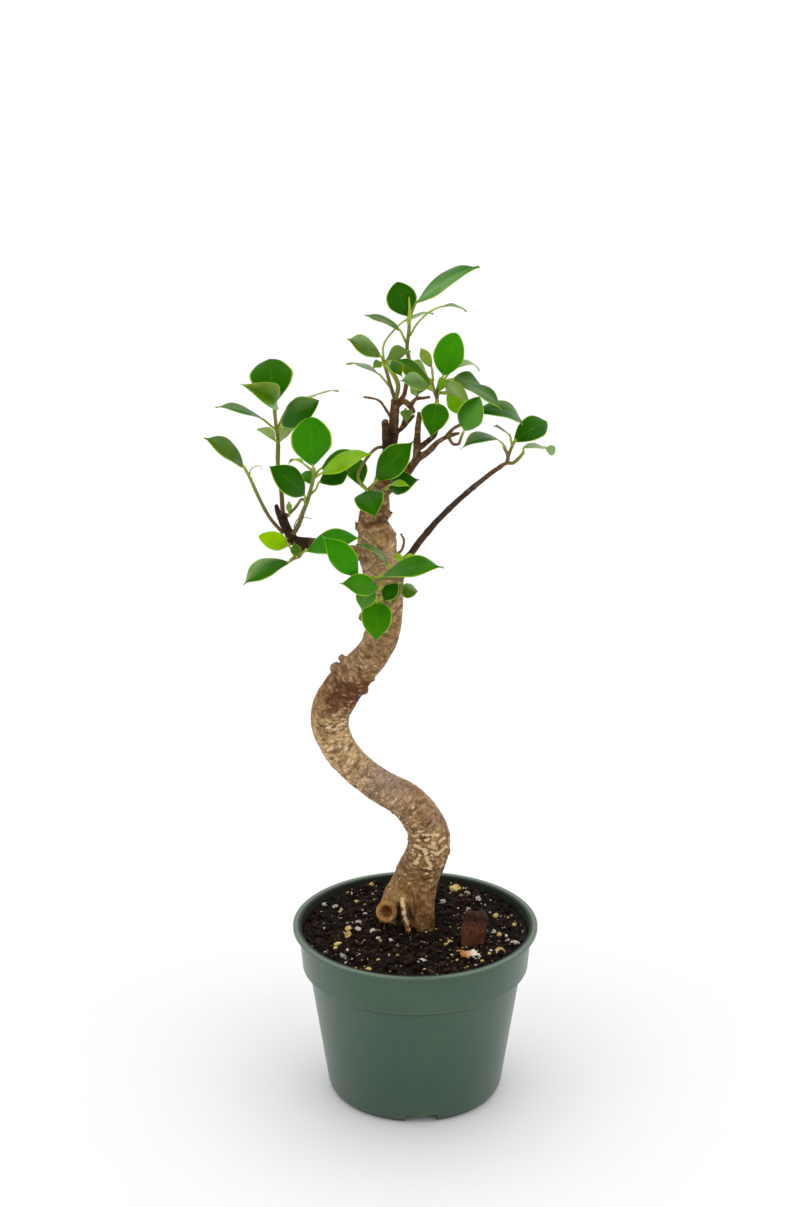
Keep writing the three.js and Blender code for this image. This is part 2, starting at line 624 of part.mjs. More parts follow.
const shoots = {
  shoot_left_tip: {
    stems: [stem([[283, 533, -7], [270, 518, -10], [260, 500, -14], [250, 478, -18]], [1.1, 0.9])],
    leaves: [leaf([244, 467, -20], [205, 437, -26], 16, 50, { from: [[251, 480, -18]], arch: 3, stalk: 1 })],
  },
  shoot_left_tall: {
    stems: [
      stem(
        [[283, 517, -5], [281, 487, -1], [278, 465, 3], [278, 440, 6], [276, 425, 8], [274, 405, 9]],
        [1.4, 1],
      ),
    ],
    leaves: [
      leaf([275, 402, 11], [269, 359, 24], 26, 0, { from: [[275, 408, 9]], widest: 0.56, arch: 2, blunt: 1 }),
      leaf([276, 403, 7], [242, 384, -14], 26, 20, {
        from: [[276, 410, 8.5]],
        fold: 56,
        widest: 0.42,
        arch: 0,
      }),
      leaf([264, 420, 6], [216, 406, 0], 12, 68, { from: [[277, 431, 7]], arch: 2.5 }),
      leaf([281, 426, 5], [318, 400, -3], 17, 22, { from: [[278, 434, 7]], arch: 2 }),
      leaf([275, 440, 4], [257, 428, -6], 9, 128, { from: [[278, 443, 6]], arch: 2 }),
      leaf([279, 441, 7], [294, 427, 14], 10, 128, { from: [[278, 444, 6]], arch: 2 }),
      leaf([298, 401, 14], [338, 389, 20], 13, 86, { from: [[277, 430, 7], [286, 411, 12]], arch: 0.5 }),
    ],
  },
  shoot_left_front: {
    stems: [
      stem(
        [[292, 535, -8], [298, 526, -10], [303, 512, -14], [308, 499, -18], [313, 480, -23], [314, 469, -26]],
        [1.5, 1],
      ),
      stem([[286, 517, -6], [295, 508, -12], [302, 499, -19], [306, 504, -17]], [0.9, 0.8]),
    ],
    leaves: [
      leaf([313, 467, -27], [310, 418, -31], 24, 0, {
        from: [[314, 476, -24]],
        widest: 0.57,
        arch: 1,
        blunt: 1,
      }),
      leaf([305, 496, -22], [270, 466, -30], 17, 20, { from: [[305, 504, -17]], arch: 3, blunt: 0.4 }),
      leaf([320, 474, -26], [371, 452, -32], 16, 52, { from: [[313, 479, -23]], arch: 1.5 }),
      leaf([320, 469, -22], [364, 452, -20], 15, 38, { from: [[313, 478, -23]], arch: 0.5 }),
      leaf([319, 482, -21], [350, 471, -18], 13, 18, { from: [[310, 495, -19], [316, 489, -20]] }),
      leaf([311, 484, -17], [305, 470, -9], 8, 0, { from: [[311, 489, -21]] }),
      leaf([304, 464, -26], [288, 463, -20], 6, 84, { from: [[314, 472, -25]], arch: 2.6, stalk: 0.7 }),
      leaf([289, 513, -10], [289, 501, -12], 3.6, 0, { from: [[289, 516, -8]], arch: 0.4 }),
    ],
  },
  shoot_left_low: {
    stems: [stem([[303, 549, -11], [299, 556, -14], [294, 558, -16], [290, 561, -16]], [1.4, 1])],
    leaves: [
      leaf([289, 545.5, -17], [259, 536, -22], 11, 0, { from: [[295, 557, -16]], widest: 0.5, blunt: 0.8 }),
      leaf([289, 562, -16], [243, 584, -24], 16, 42, { from: [[293, 559, -16]], arch: 4.5 }),
      leaf([297, 556, -18], [294, 543, -22], 6.4, 0, { from: [[297, 558, -15]], arch: 0.6 }),
      leaf([305, 551, -16], [361, 537, -22], 18, 42, { from: [[299, 556, -14]], arch: 2.5 }),
    ],
  },
  shoot_front: {
    stems: [
      stem([[384, 606, 0], [392, 603, -11], [399, 592, -16], [402, 579, -18], [402, 560, -19]], [1.5, 1]),
      stem([[403, 578, -18], [391, 578, -22], [378, 578, -24], [366, 578, -26]], [1.2, 1]),
    ],
    leaves: [
      leaf([377, 601, -19], [376, 643, -23], 18.5, 0, {
        from: [[392, 603, -12], [384, 598, -17]],
        widest: 0.36,
      }),
      leaf([398, 583, -20], [383, 602, -24], 9, 18, { from: [[401, 582, -18]] }),
      leaf([401, 591, -16], [418, 590, -10], 9.5, 6, { from: [[399, 594, -15]], widest: 0.42 }),
      leaf([381, 576, -26], [443, 566, -34], 18.5, 52, { from: [[374, 578, -24.7]], arch: 3 }),
      leaf([401, 562, -19], [397, 553, -24], 4.6, 0, { from: [[402, 566, -19]], arch: 0.6 }),
      leaf([403, 561, -18], [416, 555, -14], 4.4, 20, { from: [[402, 566, -19]], arch: 1 }),
      leaf([380, 588, -26], [341, 583, -37], 13.5, 16, { from: [[382, 579, -23]] }),
      leaf([373, 581, -23], [361, 611, -27], 12.5, 14, { from: [[374, 578, -25]] }),
      leaf([359, 577, -28], [323, 536, -35], 19, 8, { from: [[368, 578, -26]], fold: 16, arch: 2 }),
      leaf([389, 566, -17], [357, 543, -14], 13, 72, { from: [[402, 572, -18]], arch: 3 }),
    ],
  },
  shoot_neck: {
    stems: [
      stem(
        [[384, 447, 0], [377, 448, -4], [370, 454, -6], [362, 466, -8], [358, 478, -11], [365, 488, -12]],
        [0.9, 1],
      ),
    ],
    leaves: [
      leaf([367, 490, -13], [375, 517, -27], 18, 0, { from: [[363, 486, -12.5]], widest: 0.38, stalk: 1.1 }),
      leaf([361, 486, -12], [353, 456, -1], 13, 0, { from: [[363, 487, -12.5]] }),
      leaf([376, 481, -15], [413, 441, -21], 17.5, 10, { from: [[368, 489, -12]], arch: 2.5 }),
    ],
  },
  shoot_neck_right: {
    stems: [stem([[380, 491, 2], [384, 489, -5], [387, 488, -9]], [1.3, 1])],
    leaves: [
      leaf([388, 489, -10], [418, 479, -17], 14.5, 20, { from: [[385, 489, -7]], fold: 14, arch: 2 }),
      leaf([390, 485, -13], [410, 486, -19], 5, 40, { from: [[386, 489, -8]], arch: 2.2 }),
    ],
  },
  shoot_top: {
    stems: [
      stem(
        [[405, 391, 2.5], [408, 375, 5], [409, 360, 6], [407, 348, 6], [409, 330, 5], [409, 318, 4]],
        [1.3, 1],
      ),
      stem([[409, 320, 4], [410, 309, 3], [409, 299, 2]], [1.1, 0.3]),
    ],
    leaves: [
      leaf([416, 303, 1], [478, 265, -10], 19, 60, { from: [[410, 318, 4]], arch: 2.5 }),
      leaf([408, 317, 1], [396, 283, -4], 18, 0, { from: [[409, 322, 4]], widest: 0.58, blunt: 0.9 }),
      leaf([400, 330, 8], [365, 314, 14], 11, 66, { from: [[407, 345, 6]] }),
      leaf([441, 306.5, 12], [467, 310, 16], 9, 80, {
        from: [[410, 336, 5], [417, 324, 7], [428, 313, 10]],
        arch: 1.5,
        stalk: 0.65,
      }),
    ],
  },
  shoot_upper_left: {
    stems: [
      stem([[395, 400, -1], [390, 384, -3], [387, 373, -4], [383, 361, -6]], [1.2, 0.9]),
      stem([[396, 399, -1], [398, 385, -6], [392, 372, -7], [385, 362, -7]], [1.1, 1]),
    ],
    leaves: [
      leaf([381, 356, -8], [348, 338, -14], 15, 46, { from: [[384, 363, -6]], arch: 1 }),
      leaf([380, 375, 2], [347, 362, 12], 12, 80, { from: [[391, 388, -2.5]], arch: 1.5 }),
      leaf([381, 362, -9], [373, 368, -14], 5.5, 10, { from: [[385, 364, -7]] }),
      leaf([388, 356, -2], [410, 352, 0], 11, 122, { from: [[384, 362, -6]], arch: 1.5 }),
      leaf([388, 362, -12], [401, 377, -21], 9, 16, { from: [[385, 363, -7]] }),
      leaf([404, 321, 16], [433, 312, 20], 10, 78, {
        from: [[384, 360, -6], [383, 349, 1], [386, 340, 6], [395, 329, 11]],
        arch: 1,
        stalk: 0.65,
      }),
    ],
  },
  shoot_crown: {
    stems: [
      stem([[437, 407, -3], [437, 397, -2], [438, 388, 0], [441, 378, -1]], [1.1, 1]),
      stem([[437, 398, -2], [434, 390, -3], [432, 381, -3]], [1, 0.8]),
      stem([[438, 392, -1], [442, 384, 1], [444, 379, 2]], [0.9, 0.8]),
    ],
    leaves: [
      leaf([443, 376, -2], [455, 333, -8], 18, 0, { from: [[440, 383, -0.5]], arch: 1, blunt: 1 }),
      leaf([453, 368, 6], [480, 369, 12], 11, 74, { from: [[443, 381, 2]], arch: 3.5 }),
      leaf([452, 379, 8], [483, 386, 16], 13, 42, { from: [[443, 381, 2]], arch: 2 }),
      leaf([445, 380, -4], [473, 408, -14], 12.5, 140, { from: [[442, 384, 1]], arch: -1.5 }),
      leaf([447, 394, -8], [459, 413, -16], 9.5, 4, { from: [[438, 393, -1]], arch: 1 }),
      leaf([447, 392, -3], [469, 402, 2], 9, 66, { from: [[438, 393, -1]], arch: 1 }),
      leaf([457, 383, 9], [503, 408, 3], 15, 60, { from: [[443, 382, 1.5], [448, 381, 5]], arch: 3 }),
      leaf([437, 403, -13], [431, 438, -24], 16.5, 0, { from: [[437, 399, -2.5]], widest: 0.36 }),
      leaf([432, 387, -7], [396, 358, -12], 14, 44, { from: [[434, 391, -3]], arch: 0.5 }),
      leaf([429, 388, -8], [399, 383, -15], 11, 58, { from: [[434, 391, -3]], arch: 2 }),
      leaf([427, 388, 3], [411, 391, 14], 8, 24, { from: [[434, 391, -3]], arch: 1 }),
      leaf([430, 379, 0], [412, 361, 10], 11, 128, { from: [[433, 385, -3]], arch: -1 }),
      leaf([432, 368, 3], [420, 347, 6], 6.5, 0, { from: [[433, 381, -3]], arch: 0.8 }),
    ],
  },
  shoot_right: {
    stems: [stem([[459, 444, -16], [461, 438, -17], [463, 433, -18]], [0.9, 0.8])],
    leaves: [
      leaf([464, 431, -18], [479, 397, -25], 15.5, 4, {
        from: [[462, 436, -17.5]],
        fold: 14,
        blunt: 0.8,
      }),
    ],
  },
  shoot_right_back: {
    stems: [stem([[459, 425.5, -11], [465, 419, -2], [470, 412, 6]], [0.9, 0.8])],
    leaves: [leaf([476, 411, 9], [524, 423, 18], 16.5, 52, { from: [[469, 413, 5]], arch: 6 })],
  },
  shoot_far_right: {
    stems: [
      stem([[501, 466, 21.3], [507, 463, 22], [513, 463, 23], [519, 458, 24], [524, 452, 24.5]], [1.2, 0.9]),
      stem([[507, 463, 22], [508, 456, 22], [505, 449, 21], [504, 446, 20.5]], [1.2, 0.9]),
      stem([[508, 457, 22], [511, 449, 22], [514, 442, 22.5]], [1, 0.9]),
    ],
    leaves: [
      leaf([503, 444, 20], [461, 448, 6], 13, 62, { from: [[506, 452, 21.5]], arch: 6.5 }),
      leaf([514, 441, 23], [547, 421, 35], 16, 14, {
        from: [[512, 446, 22]],
        fold: 12,
        arch: 2.5,
        blunt: 0.8,
      }),
      leaf([510, 435, 20], [494, 425, 14], 7, 80, { from: [[512, 446, 22]], arch: 0.5 }),
      leaf([524, 447, 25], [548, 448, 31], 8, 68, { from: [[523, 453, 24.5]], arch: 1, widest: 0.4 }),
      leaf([546, 447.5, 30.5], [556, 453, 33], 6.5, 20, { from: [[539, 447, 29]], arch: 0.5, stalk: 0.7 }),
    ],
  },
  shoot_centre: {
    stems: [stem([[405, 415, -4], [405, 410, -6], [406, 409, -7]], [0.8, 0.7])],
    leaves: [leaf([406, 410, -8], [407, 423, -12], 6, 0, { from: [[405, 411, -6]], widest: 0.36 })],
  },
  shoot_centre_bud: {
    stems: [stem([[417, 399, 2], [417, 394, 0], [416, 392, -1]], [0.8, 0.7])],
    leaves: [leaf([416, 393, -1], [410, 387, -3], 4.6, 0, { from: [[417, 395, 0]] })],
  },
};

function shoot({ stems, leaves }) {
  const solids = stems.map(({ route, radii }) => twig(route.map(inCrown), radii, { sides: 5 }));
  for (const each of leaves) {
    solids.push(leafSolid(each));
  }
  return joined(solids);
}

// Assembly

const tree = new THREE.Group();
const trunk = wood();
const woodRoom = wood(clearance);
const chips = [
  ['bark_chip', barkChipPlace, colours.chip],
  ['perlite_chip', paleChipPlace, colours.perlite],
];

tree.add(meshOf('pot', pot(), colours.pot));
const chipRoom = joined(chips.map(([, place]) => chip(place, clearance)));
tree.add(meshOf('soil', soil().subtract(woodRoom).subtract(chipRoom), colours.soil));
tree.add(meshOf('trunk', trunk, colours.bark));
for (const [name, place, look] of chips) {
  tree.add(meshOf(name, chip(place), look));
}
for (const [name, parts] of Object.entries(shoots)) {
  tree.add(meshOf(name, shoot(parts).subtract(woodRoom), colours.leaf));
}

export default tree;
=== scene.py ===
import math
import random

import bmesh
import bpy
import numpy as np
from mathutils import Matrix, Vector, kdtree, noise


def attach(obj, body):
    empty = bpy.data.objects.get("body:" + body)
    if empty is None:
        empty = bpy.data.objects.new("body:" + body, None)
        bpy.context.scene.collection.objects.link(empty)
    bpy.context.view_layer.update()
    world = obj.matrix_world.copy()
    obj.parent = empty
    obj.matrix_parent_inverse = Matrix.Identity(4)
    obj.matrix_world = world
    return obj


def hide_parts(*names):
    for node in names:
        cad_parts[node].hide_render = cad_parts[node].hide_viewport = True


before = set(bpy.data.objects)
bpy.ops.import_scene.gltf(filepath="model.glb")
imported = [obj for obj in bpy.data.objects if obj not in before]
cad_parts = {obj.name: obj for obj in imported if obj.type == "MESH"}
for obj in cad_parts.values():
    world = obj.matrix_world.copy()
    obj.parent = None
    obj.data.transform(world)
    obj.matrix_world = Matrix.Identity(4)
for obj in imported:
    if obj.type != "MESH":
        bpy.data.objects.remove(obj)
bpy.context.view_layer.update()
print("frame loaded")

mm = 0.001               # pieces are drawn in millimetres and brought to metres when they are finished
bpy.context.scene.view_settings.view_transform = "Standard"

# Where the eye stands: a place on the tree is (x, y) in the 800 x 1207 picture and a depth in mm behind
# the middle of the pot. Depths of the crown are listed for a flat tree and opened out by crownSpread.
view = {
    "eye": Vector((-9.5, -1444.95, 815.54)),
    "pitch": 0.3295,
    "pixelsPerUnit": 2557,
    "centre": (400, 603.5),
    "frameHeight": 1207,
    "sensor": 23.6,
    "crownSpread": 1.4,
    "crownBelow": 560,       # patches of bark higher in the picture than this belong to the crown
}


def sightLine(px, py):
    right = (px - view["centre"][0]) / view["pixelsPerUnit"]
    up = (view["centre"][1] - py) / view["pixelsPerUnit"]
    cos, sin = math.cos(view["pitch"]), math.sin(view["pitch"])
    return Vector((right, cos + up * sin, up * cos - sin))


def seen(place):
    line = sightLine(place[0], place[1])
    return view["eye"] + line * ((place[2] - view["eye"].y) / line.y)


def inCrown(place):
    return seen((place[0], place[1], place[2] * view["crownSpread"]))


def seenAtHeight(px, py, height):
    line = sightLine(px, py)
    return view["eye"] + line * ((height - view["eye"].z) / line.z)


def srgb(red, green, blue):
    def linear(value):
        share = value / 255
        return share / 12.92 if share <= 0.04045 else ((share + 0.055) / 1.055) ** 2.4
    return (linear(red), linear(green), linear(blue), 1.0)


# Node sheets: short calls for the nodes of a tree, and fields that add and multiply like numbers

class Sheet:
    def __init__(self, tree):
        self.tree = tree

    def add(self, kind, inputs=None, **settings):
        node = self.tree.nodes.new(kind)
        for name, value in settings.items():
            setattr(node, name, value)
        for key, value in (inputs or {}).items():
            self.feed(node.inputs[key], value)
        return node

    def first(self, kind, inputs=None, **settings):
        return Field(self, self.add(kind, inputs, **settings).outputs[0])

    def feed(self, socket, value):
        if isinstance(value, Field):
            value = value.socket
        if isinstance(value, bpy.types.NodeSocket):
            self.tree.links.new(value, socket)
        else:
            socket.default_value = value

    def maths(self, operation, *values):
        return self.first("ShaderNodeMath", dict(enumerate(values)), operation=operation)

    def most(self, *values):
        whole = values[0]
        for value in values[1:]:
            whole = self.maths("MAXIMUM", whole, value)
        return whole

    def vectors(self, operation, *values):
        node = self.add("ShaderNodeVectorMath", dict(enumerate(values)), operation=operation)
        lone = operation in ("LENGTH", "DOT_PRODUCT")
        return Field(self, node.outputs["Value" if lone else "Vector"])

    def scaled(self, vector, amount):
        return self.first("ShaderNodeVectorMath", {0: vector, "Scale": amount}, operation="SCALE")

    def xyz(self, vector):
        return [Field(self, socket) for socket in self.add("ShaderNodeSeparateXYZ", {0: vector}).outputs]

    def smooth(self, value, low, high, toLow=0.0, toHigh=1.0):
        ends = dict(enumerate((value, low, high, toLow, toHigh)))
        return self.first("ShaderNodeMapRange", ends, interpolation_type="SMOOTHSTEP")

    def blended(self, amount, a, b, blend="MIX"):
        node = self.add("ShaderNodeMix", {0: amount, 6: a, 7: b}, data_type="RGBA", blend_type=blend)
        return Field(self, node.outputs[2])

    def coated(self, colour, *coats):
        # lays each (amount, colour) over the ones before it
        for amount, tint in coats:
            colour = self.blended(amount, colour, tint)
        return colour

    def noise(self, vector, scale, detail=3.0, roughness=0.5, distortion=0.0, output=0):
        node = self.add("ShaderNodeTexNoise", {
            "Vector": vector, "Scale": scale, "Detail": detail, "Roughness": roughness,
            "Distortion": distortion})
        return Field(self, node.outputs[output])

    def wander(self, vector, scale, roughness):
        # a small push in any direction
        return self.noise(vector, scale, 2.0, roughness, output=1) - (0.5, 0.5, 0.5)

    def mottled(self, place, clouds, grain, specks):
        spots = self.add("ShaderNodeGroup", node_tree=mottle)
        for socket, value in zip(spots.inputs, (place, clouds, grain, specks)):
            self.feed(socket, value)
        return [Field(self, socket) for socket in spots.outputs]

    def anything(self, low, high, seed):
        node = self.add("FunctionNodeRandomValue", {2: low, 3: high, 8: seed}, data_type="FLOAT")
        return Field(self, node.outputs[1])

    def attribute(self, name, kind="FLOAT"):
        return self.first("GeometryNodeInputNamedAttribute", {"Name": name}, data_type=kind)

    def stored(self, geometry, name, value):
        return self.first("GeometryNodeStoreNamedAttribute", {
            "Geometry": geometry, "Name": name, "Value": value}, data_type="FLOAT")

    def painted(self, name, output="Fac"):
        return Field(self, self.add("ShaderNodeAttribute", attribute_name=name).outputs[output])

    def place(self):
        # the point on a finished piece, in millimetres
        return self.scaled(self.add("ShaderNodeTexCoord").outputs["Object"], 1 / mm)

    def finish(self, surface, colour, roughness, height, strength, distance):
        bump = self.first("ShaderNodeBump", {"Strength": strength, "Distance": distance, "Height": height})
        for name, value in (("Base Color", colour), ("Roughness", roughness), ("Normal", bump)):
            self.feed(surface.inputs[name], value)

    def position(self):
        return self.first("GeometryNodeInputPosition")

    def moved(self, geometry, way, amount):
        return self.first("GeometryNodeSetPosition", {"Geometry": geometry, way: amount})

    def shaded(self, geometry):
        return self.first("GeometryNodeSetShadeSmooth", {"Geometry": geometry})

    def planted(self, points, piece, **inputs):
        return self.real(self.first("GeometryNodeInstanceOnPoints", {
            "Points": points, "Instance": piece, **inputs}))

    def real(self, geometry):
        return self.first("GeometryNodeRealizeInstances", {"Geometry": geometry})

    def handOut(self, out, geometry, material):
        made = self.first("GeometryNodeSetMaterial", {"Geometry": geometry, "Material": material})
        self.feed(out["Geometry"], made)
        return self.tree


class Field:
    def __init__(self, sheet, socket):
        self.sheet = sheet
        self.socket = socket
        self.isVector = socket.type == "VECTOR"

    def joined(self, operation, a, b):
        areVectors = [isinstance(v, tuple) or (isinstance(v, Field) and v.isVector) for v in (a, b)]
        if operation == "MULTIPLY" and areVectors == [True, False]:
            return self.sheet.scaled(a, b)
        if operation == "MULTIPLY" and areVectors == [False, True]:
            return self.sheet.scaled(b, a)
        if any(areVectors):
            return self.sheet.vectors(operation, a, b)
        return self.sheet.maths(operation, a, b)

    def __add__(self, other):
        return self.joined("ADD", self, other)

    def __sub__(self, other):
        return self.joined("SUBTRACT", self, other)

    def __rsub__(self, other):
        return self.joined("SUBTRACT", other, self)

    def __mul__(self, other):
        return self.joined("MULTIPLY", self, other)

    def __truediv__(self, other):
        return self.joined("DIVIDE", self, other)

    def __pow__(self, other):
        return self.joined("POWER", self, other)

    def __abs__(self):
        return self.sheet.maths("ABSOLUTE", self)

    __radd__ = __add__
    __rmul__ = __mul__


def treeWith(name, kind, inputs, outputs):
    tree = bpy.data.node_groups.new(name, kind)
    for label, form, value in inputs:
        socket = tree.interface.new_socket(label, in_out="INPUT", socket_type="NodeSocket" + form)
        if value is not None:
            socket.default_value = value
    for label, form in outputs:
        tree.interface.new_socket(label, in_out="OUTPUT", socket_type="NodeSocket" + form)
    return Sheet(tree), tree.nodes.new("NodeGroupInput").outputs, tree.nodes.new("NodeGroupOutput").inputs


def geometryTree(name, inputs):
    inputs = [("Geometry", "Geometry", None), *inputs, ("Material", "Material", None)]
    return treeWith(name, "GeometryNodeTree", inputs, [("Geometry", "Geometry")])


def grown(source, tree, values, name):
    # runs a geometry tree on an object and keeps the plain mesh that comes out
    modifier = source.modifiers.new(tree.name, "NODES")
    modifier.node_group = tree
    for item in tree.interface.items_tree:
        if item.item_type == "SOCKET" and item.in_out == "INPUT" and values.get(item.name) is not None:
            modifier[item.identifier] = values[item.name]
    piece = settled(source)
    piece.name = name
    piece.data.name = name
    return piece


def settled(piece):
    # applies an object's modifiers
    graph = bpy.context.evaluated_depsgraph_get()
    mesh = bpy.data.meshes.new_from_object(piece.evaluated_get(graph))
    piece.modifiers.clear()
    piece.data = mesh
    return piece


def meshObject(name, points, edges=(), faces=(), attributes=None):
    mesh = bpy.data.meshes.new(name)
    mesh.from_pydata([tuple(p) for p in points], list(edges), list(faces))
    piece = bpy.data.objects.new(name, mesh)
    bpy.context.scene.collection.objects.link(piece)
    for label, values in (attributes or {}).items():
        paint(piece, label, values)
    return piece


def fromWork(name, work):
    piece = meshObject(name, [])
    work.to_mesh(piece.data)
    work.free()
    return piece


def paint(piece, label, values):
    values = np.array([tuple(v) for v in values] if hasattr(values[0], "__len__") else values, np.float32)
    isVector = values.ndim == 2
    layer = piece.data.attributes.new(label, "FLOAT_VECTOR" if isVector else "FLOAT", "POINT")
    layer.data.foreach_set("vector" if isVector else "value", values.ravel())


def coordinates(piece):
    places = np.zeros(len(piece.data.vertices) * 3, np.float32)
    piece.data.vertices.foreach_get("co", places)
    return places.reshape(-1, 3)


def smoothWith(piece, material):
    piece.data.shade_smooth()
    piece.data.materials.clear()
    piece.data.materials.append(material)
    return piece


def oneObject(name, pieces):
    bpy.ops.object.select_all(action="DESELECT")
    for piece in pieces:
        piece.select_set(True)
    bpy.context.view_layer.objects.active = pieces[0]
    bpy.ops.object.join()
    pieces[0].name = name
    return pieces[0]


def finished(piece, slot, *nodes):
    piece.data.transform(Matrix.Scale(mm, 4))
    piece.data.update()
    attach(piece, "root")
    if nodes:
        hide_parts(*nodes)
    print(piece.name, len(piece.data.polygons), "faces")


def newMaterial(name, shine=None):
    made = bpy.data.materials.new(name)
    made.use_nodes = True
    surface = made.node_tree.nodes["Principled BSDF"]
    if shine is not None:
        surface.inputs["Specular IOR Level"].default_value = shine
    return made, Sheet(made.node_tree), surface


def placeCamera():
    data = bpy.data.cameras.new("camera")
    data.sensor_width = view["sensor"]
    data.lens = view["pixelsPerUnit"] / view["frameHeight"] * view["sensor"]
    data.clip_end = 50
    camera = bpy.data.objects.new("camera", data)
    camera.location = view["eye"] * mm
    camera.rotation_euler = (math.pi / 2 - view["pitch"], 0, 0)
    bpy.context.scene.collection.objects.link(camera)
    bpy.context.scene.camera = camera


placeCamera()


# Mottling, shared by all materials of the object: broad clouds, fine grain and small specks
def buildMottle():
    sheet, given, out = treeWith(
        "mottle", "ShaderNodeTree",
        [("Place", "Vector", None), ("Clouds per mm", "Float", 0.1), ("Grain per mm", "Float", 1.0),
         ("Specks per mm", "Float", 1.5)],
        [("Clouds", "Float"), ("Grain", "Float"), ("Specks", "Float")])
    clouds = sheet.noise(given["Place"], given["Clouds per mm"], 4.0, 0.55)
    specks = sheet.noise(given["Place"], given["Specks per mm"], 2.0, 0.5)
    sheet.feed(out["Clouds"], sheet.smooth(clouds, 0.3, 0.7))
    sheet.feed(out["Grain"], sheet.noise(given["Place"], given["Grain per mm"], 6.0, 0.65))
    sheet.feed(out["Specks"], sheet.smooth(specks, 0.64, 0.74))
    return sheet.tree


mottle = buildMottle()


# Pot

pot = {
    "height": 111,
    "rimRadius": 76.2,
    "lipWidth": 3.7,
    "lipThickness": 1.9,
    "bandHeight": 27.2,
    "bandFoot": 70.4,
    "wall": 1.6,
    "footRadius": 54,
    "slope": 0.15,
    "footRounding": 6,
    "channelWidth": 19.5,
    "channelHeight": 6,
    "channelStart": 19,
    "channelTurn": 0.07,
    "drainRadius": 4,
    "drainCircle": 36,
    "turnSteps": 176,
    "arcSteps": 5,
    "sharpFrom": 40,
    "colour": srgb(50, 78, 58),
    "cloudColour": srgb(60, 90, 66),
    "flowColour": srgb(38, 62, 49),
    "dirtAndShadeColour": srgb(26, 30, 20),
    "wornAndHighlightColour": srgb(116, 136, 114),
    "dustColour": srgb(170, 172, 160),
}
bandBase = pot["height"] - pot["bandHeight"]


def bodyRadius(height):
    return pot["footRadius"] + pot["slope"] * height


def roundedOutline(corners):
    # each corner is (radius, height, rounding); a rounding of 0 keeps it sharp
    outline = []
    for i, (x, z, rounding) in enumerate(corners):
        here = Vector((x, z))
        if rounding == 0:
            outline.append(here)
            continue
        before = Vector(corners[i - 1][:2]) - here
        after = Vector(corners[(i + 1) % len(corners)][:2]) - here
        reach = min(rounding, before.length * 0.48, after.length * 0.48)
        first, last = here + before.normalized() * reach, here + after.normalized() * reach
        for step in range(pot["arcSteps"] + 1):
            t = step / pot["arcSteps"]
            outline.append(first * (1 - t) ** 2 + here * 2 * t * (1 - t) + last * t ** 2)
    return outline


def potOutline():
    wall, top, foot = pot["wall"], pot["height"], pot["footRounding"]
    bandTop = pot["rimRadius"] - pot["lipWidth"]
    lipBase = top - pot["lipThickness"]
    return roundedOutline([
        (0, 0, 0),
        (bodyRadius(0), 0, foot),
        (bodyRadius(bandBase), bandBase, 0.5),
        (pot["bandFoot"], bandBase, 1.0),
        (bandTop, lipBase - 0.4, 0.7),
        (pot["rimRadius"], lipBase, 0.4),
        (pot["rimRadius"], top, 0.4),
        (bandTop - wall + 0.5, top, 0.8),
        (pot["bandFoot"] - wall, bandBase + wall, 1.0),
        (bodyRadius(bandBase) - wall, bandBase + wall - 0.6, 0.6),
        (bodyRadius(foot) - wall, wall, foot - wall),
        (0, wall, 0),
    ])


def envelopeOutline():
    return roundedOutline([
        (0, 0, 0),
        (bodyRadius(0), 0, pot["footRounding"]),
        (bodyRadius(bandBase), bandBase, 0),
        (0, bandBase, 0),
    ])


# Turns an outline, given as a row of points (radius, 0, height), round the upright axis
def buildTurning():
    sheet, given, out = geometryTree("turnedShell", [("Steps", "Int", 96)])
    count = sheet.first("GeometryNodeAttributeDomainSize", {0: given["Geometry"]})
    last = count - 1.0
    grid = sheet.first("GeometryNodeMeshGrid", {
        "Size X": last, "Size Y": 1.0, "Vertices X": count,
        "Vertices Y": sheet.maths("ADD", given["Steps"], 1.0)})
    gridX, gridY = sheet.xyz(sheet.position())[:2]
    turn = (gridY + 0.5) * (2 * math.pi)
    corner = sheet.first("GeometryNodeSampleIndex", {
        0: given["Geometry"], "Value": sheet.position(),
        "Index": sheet.maths("ROUND", gridX + last * 0.5)}, data_type="FLOAT_VECTOR")
    radius, height = sheet.xyz(corner)[::2]
    place = sheet.first("ShaderNodeCombineXYZ", {
        0: radius * sheet.maths("SINE", turn), 1: radius * sheet.maths("COSINE", turn) * -1.0, 2: height})
    shell = sheet.moved(grid, "Position", place)
    welded = sheet.first("GeometryNodeMergeByDistance", {"Geometry": shell, "Distance": 0.001})
    return sheet.handOut(out, sheet.real(welded), given["Material"])


def turnedPiece(name, outline):
    source = meshObject(name, [(p[0], 0, p[1]) for p in outline])
    piece = grown(source, turning, {"Steps": pot["turnSteps"], "Material": potPlastic}, name)
    work = bmesh.new()
    work.from_mesh(piece.data)
    bmesh.ops.recalc_face_normals(work, faces=work.faces)
    work.to_mesh(piece.data)
    work.free()
    return piece


def radialBox(name, width, end, low, high, turn):
    # an upright box that lies out along -Y before it is turned
    points, start = [], pot["channelStart"]
    for z in (low, high):
        for x, y in ((-width / 2, -start), (-width / 2, -end), (width / 2, -end), (width / 2, -start)):
            points.append(Matrix.Rotation(turn, 3, "Z") @ Vector((x, y, z)))
    return meshObject(name, points, faces=(
        (0, 3, 2, 1), (4, 5, 6, 7), (0, 1, 5, 4), (1, 2, 6, 5), (2, 3, 7, 6), (3, 0, 4, 7)))


def cut(piece, tool, operation):
    modifier = piece.modifiers.new(operation.lower(), "BOOLEAN")
    modifier.object = tool
    modifier.operation = operation
    modifier.solver = "MANIFOLD"
    settled(piece)
    bpy.data.objects.remove(tool)
    return piece


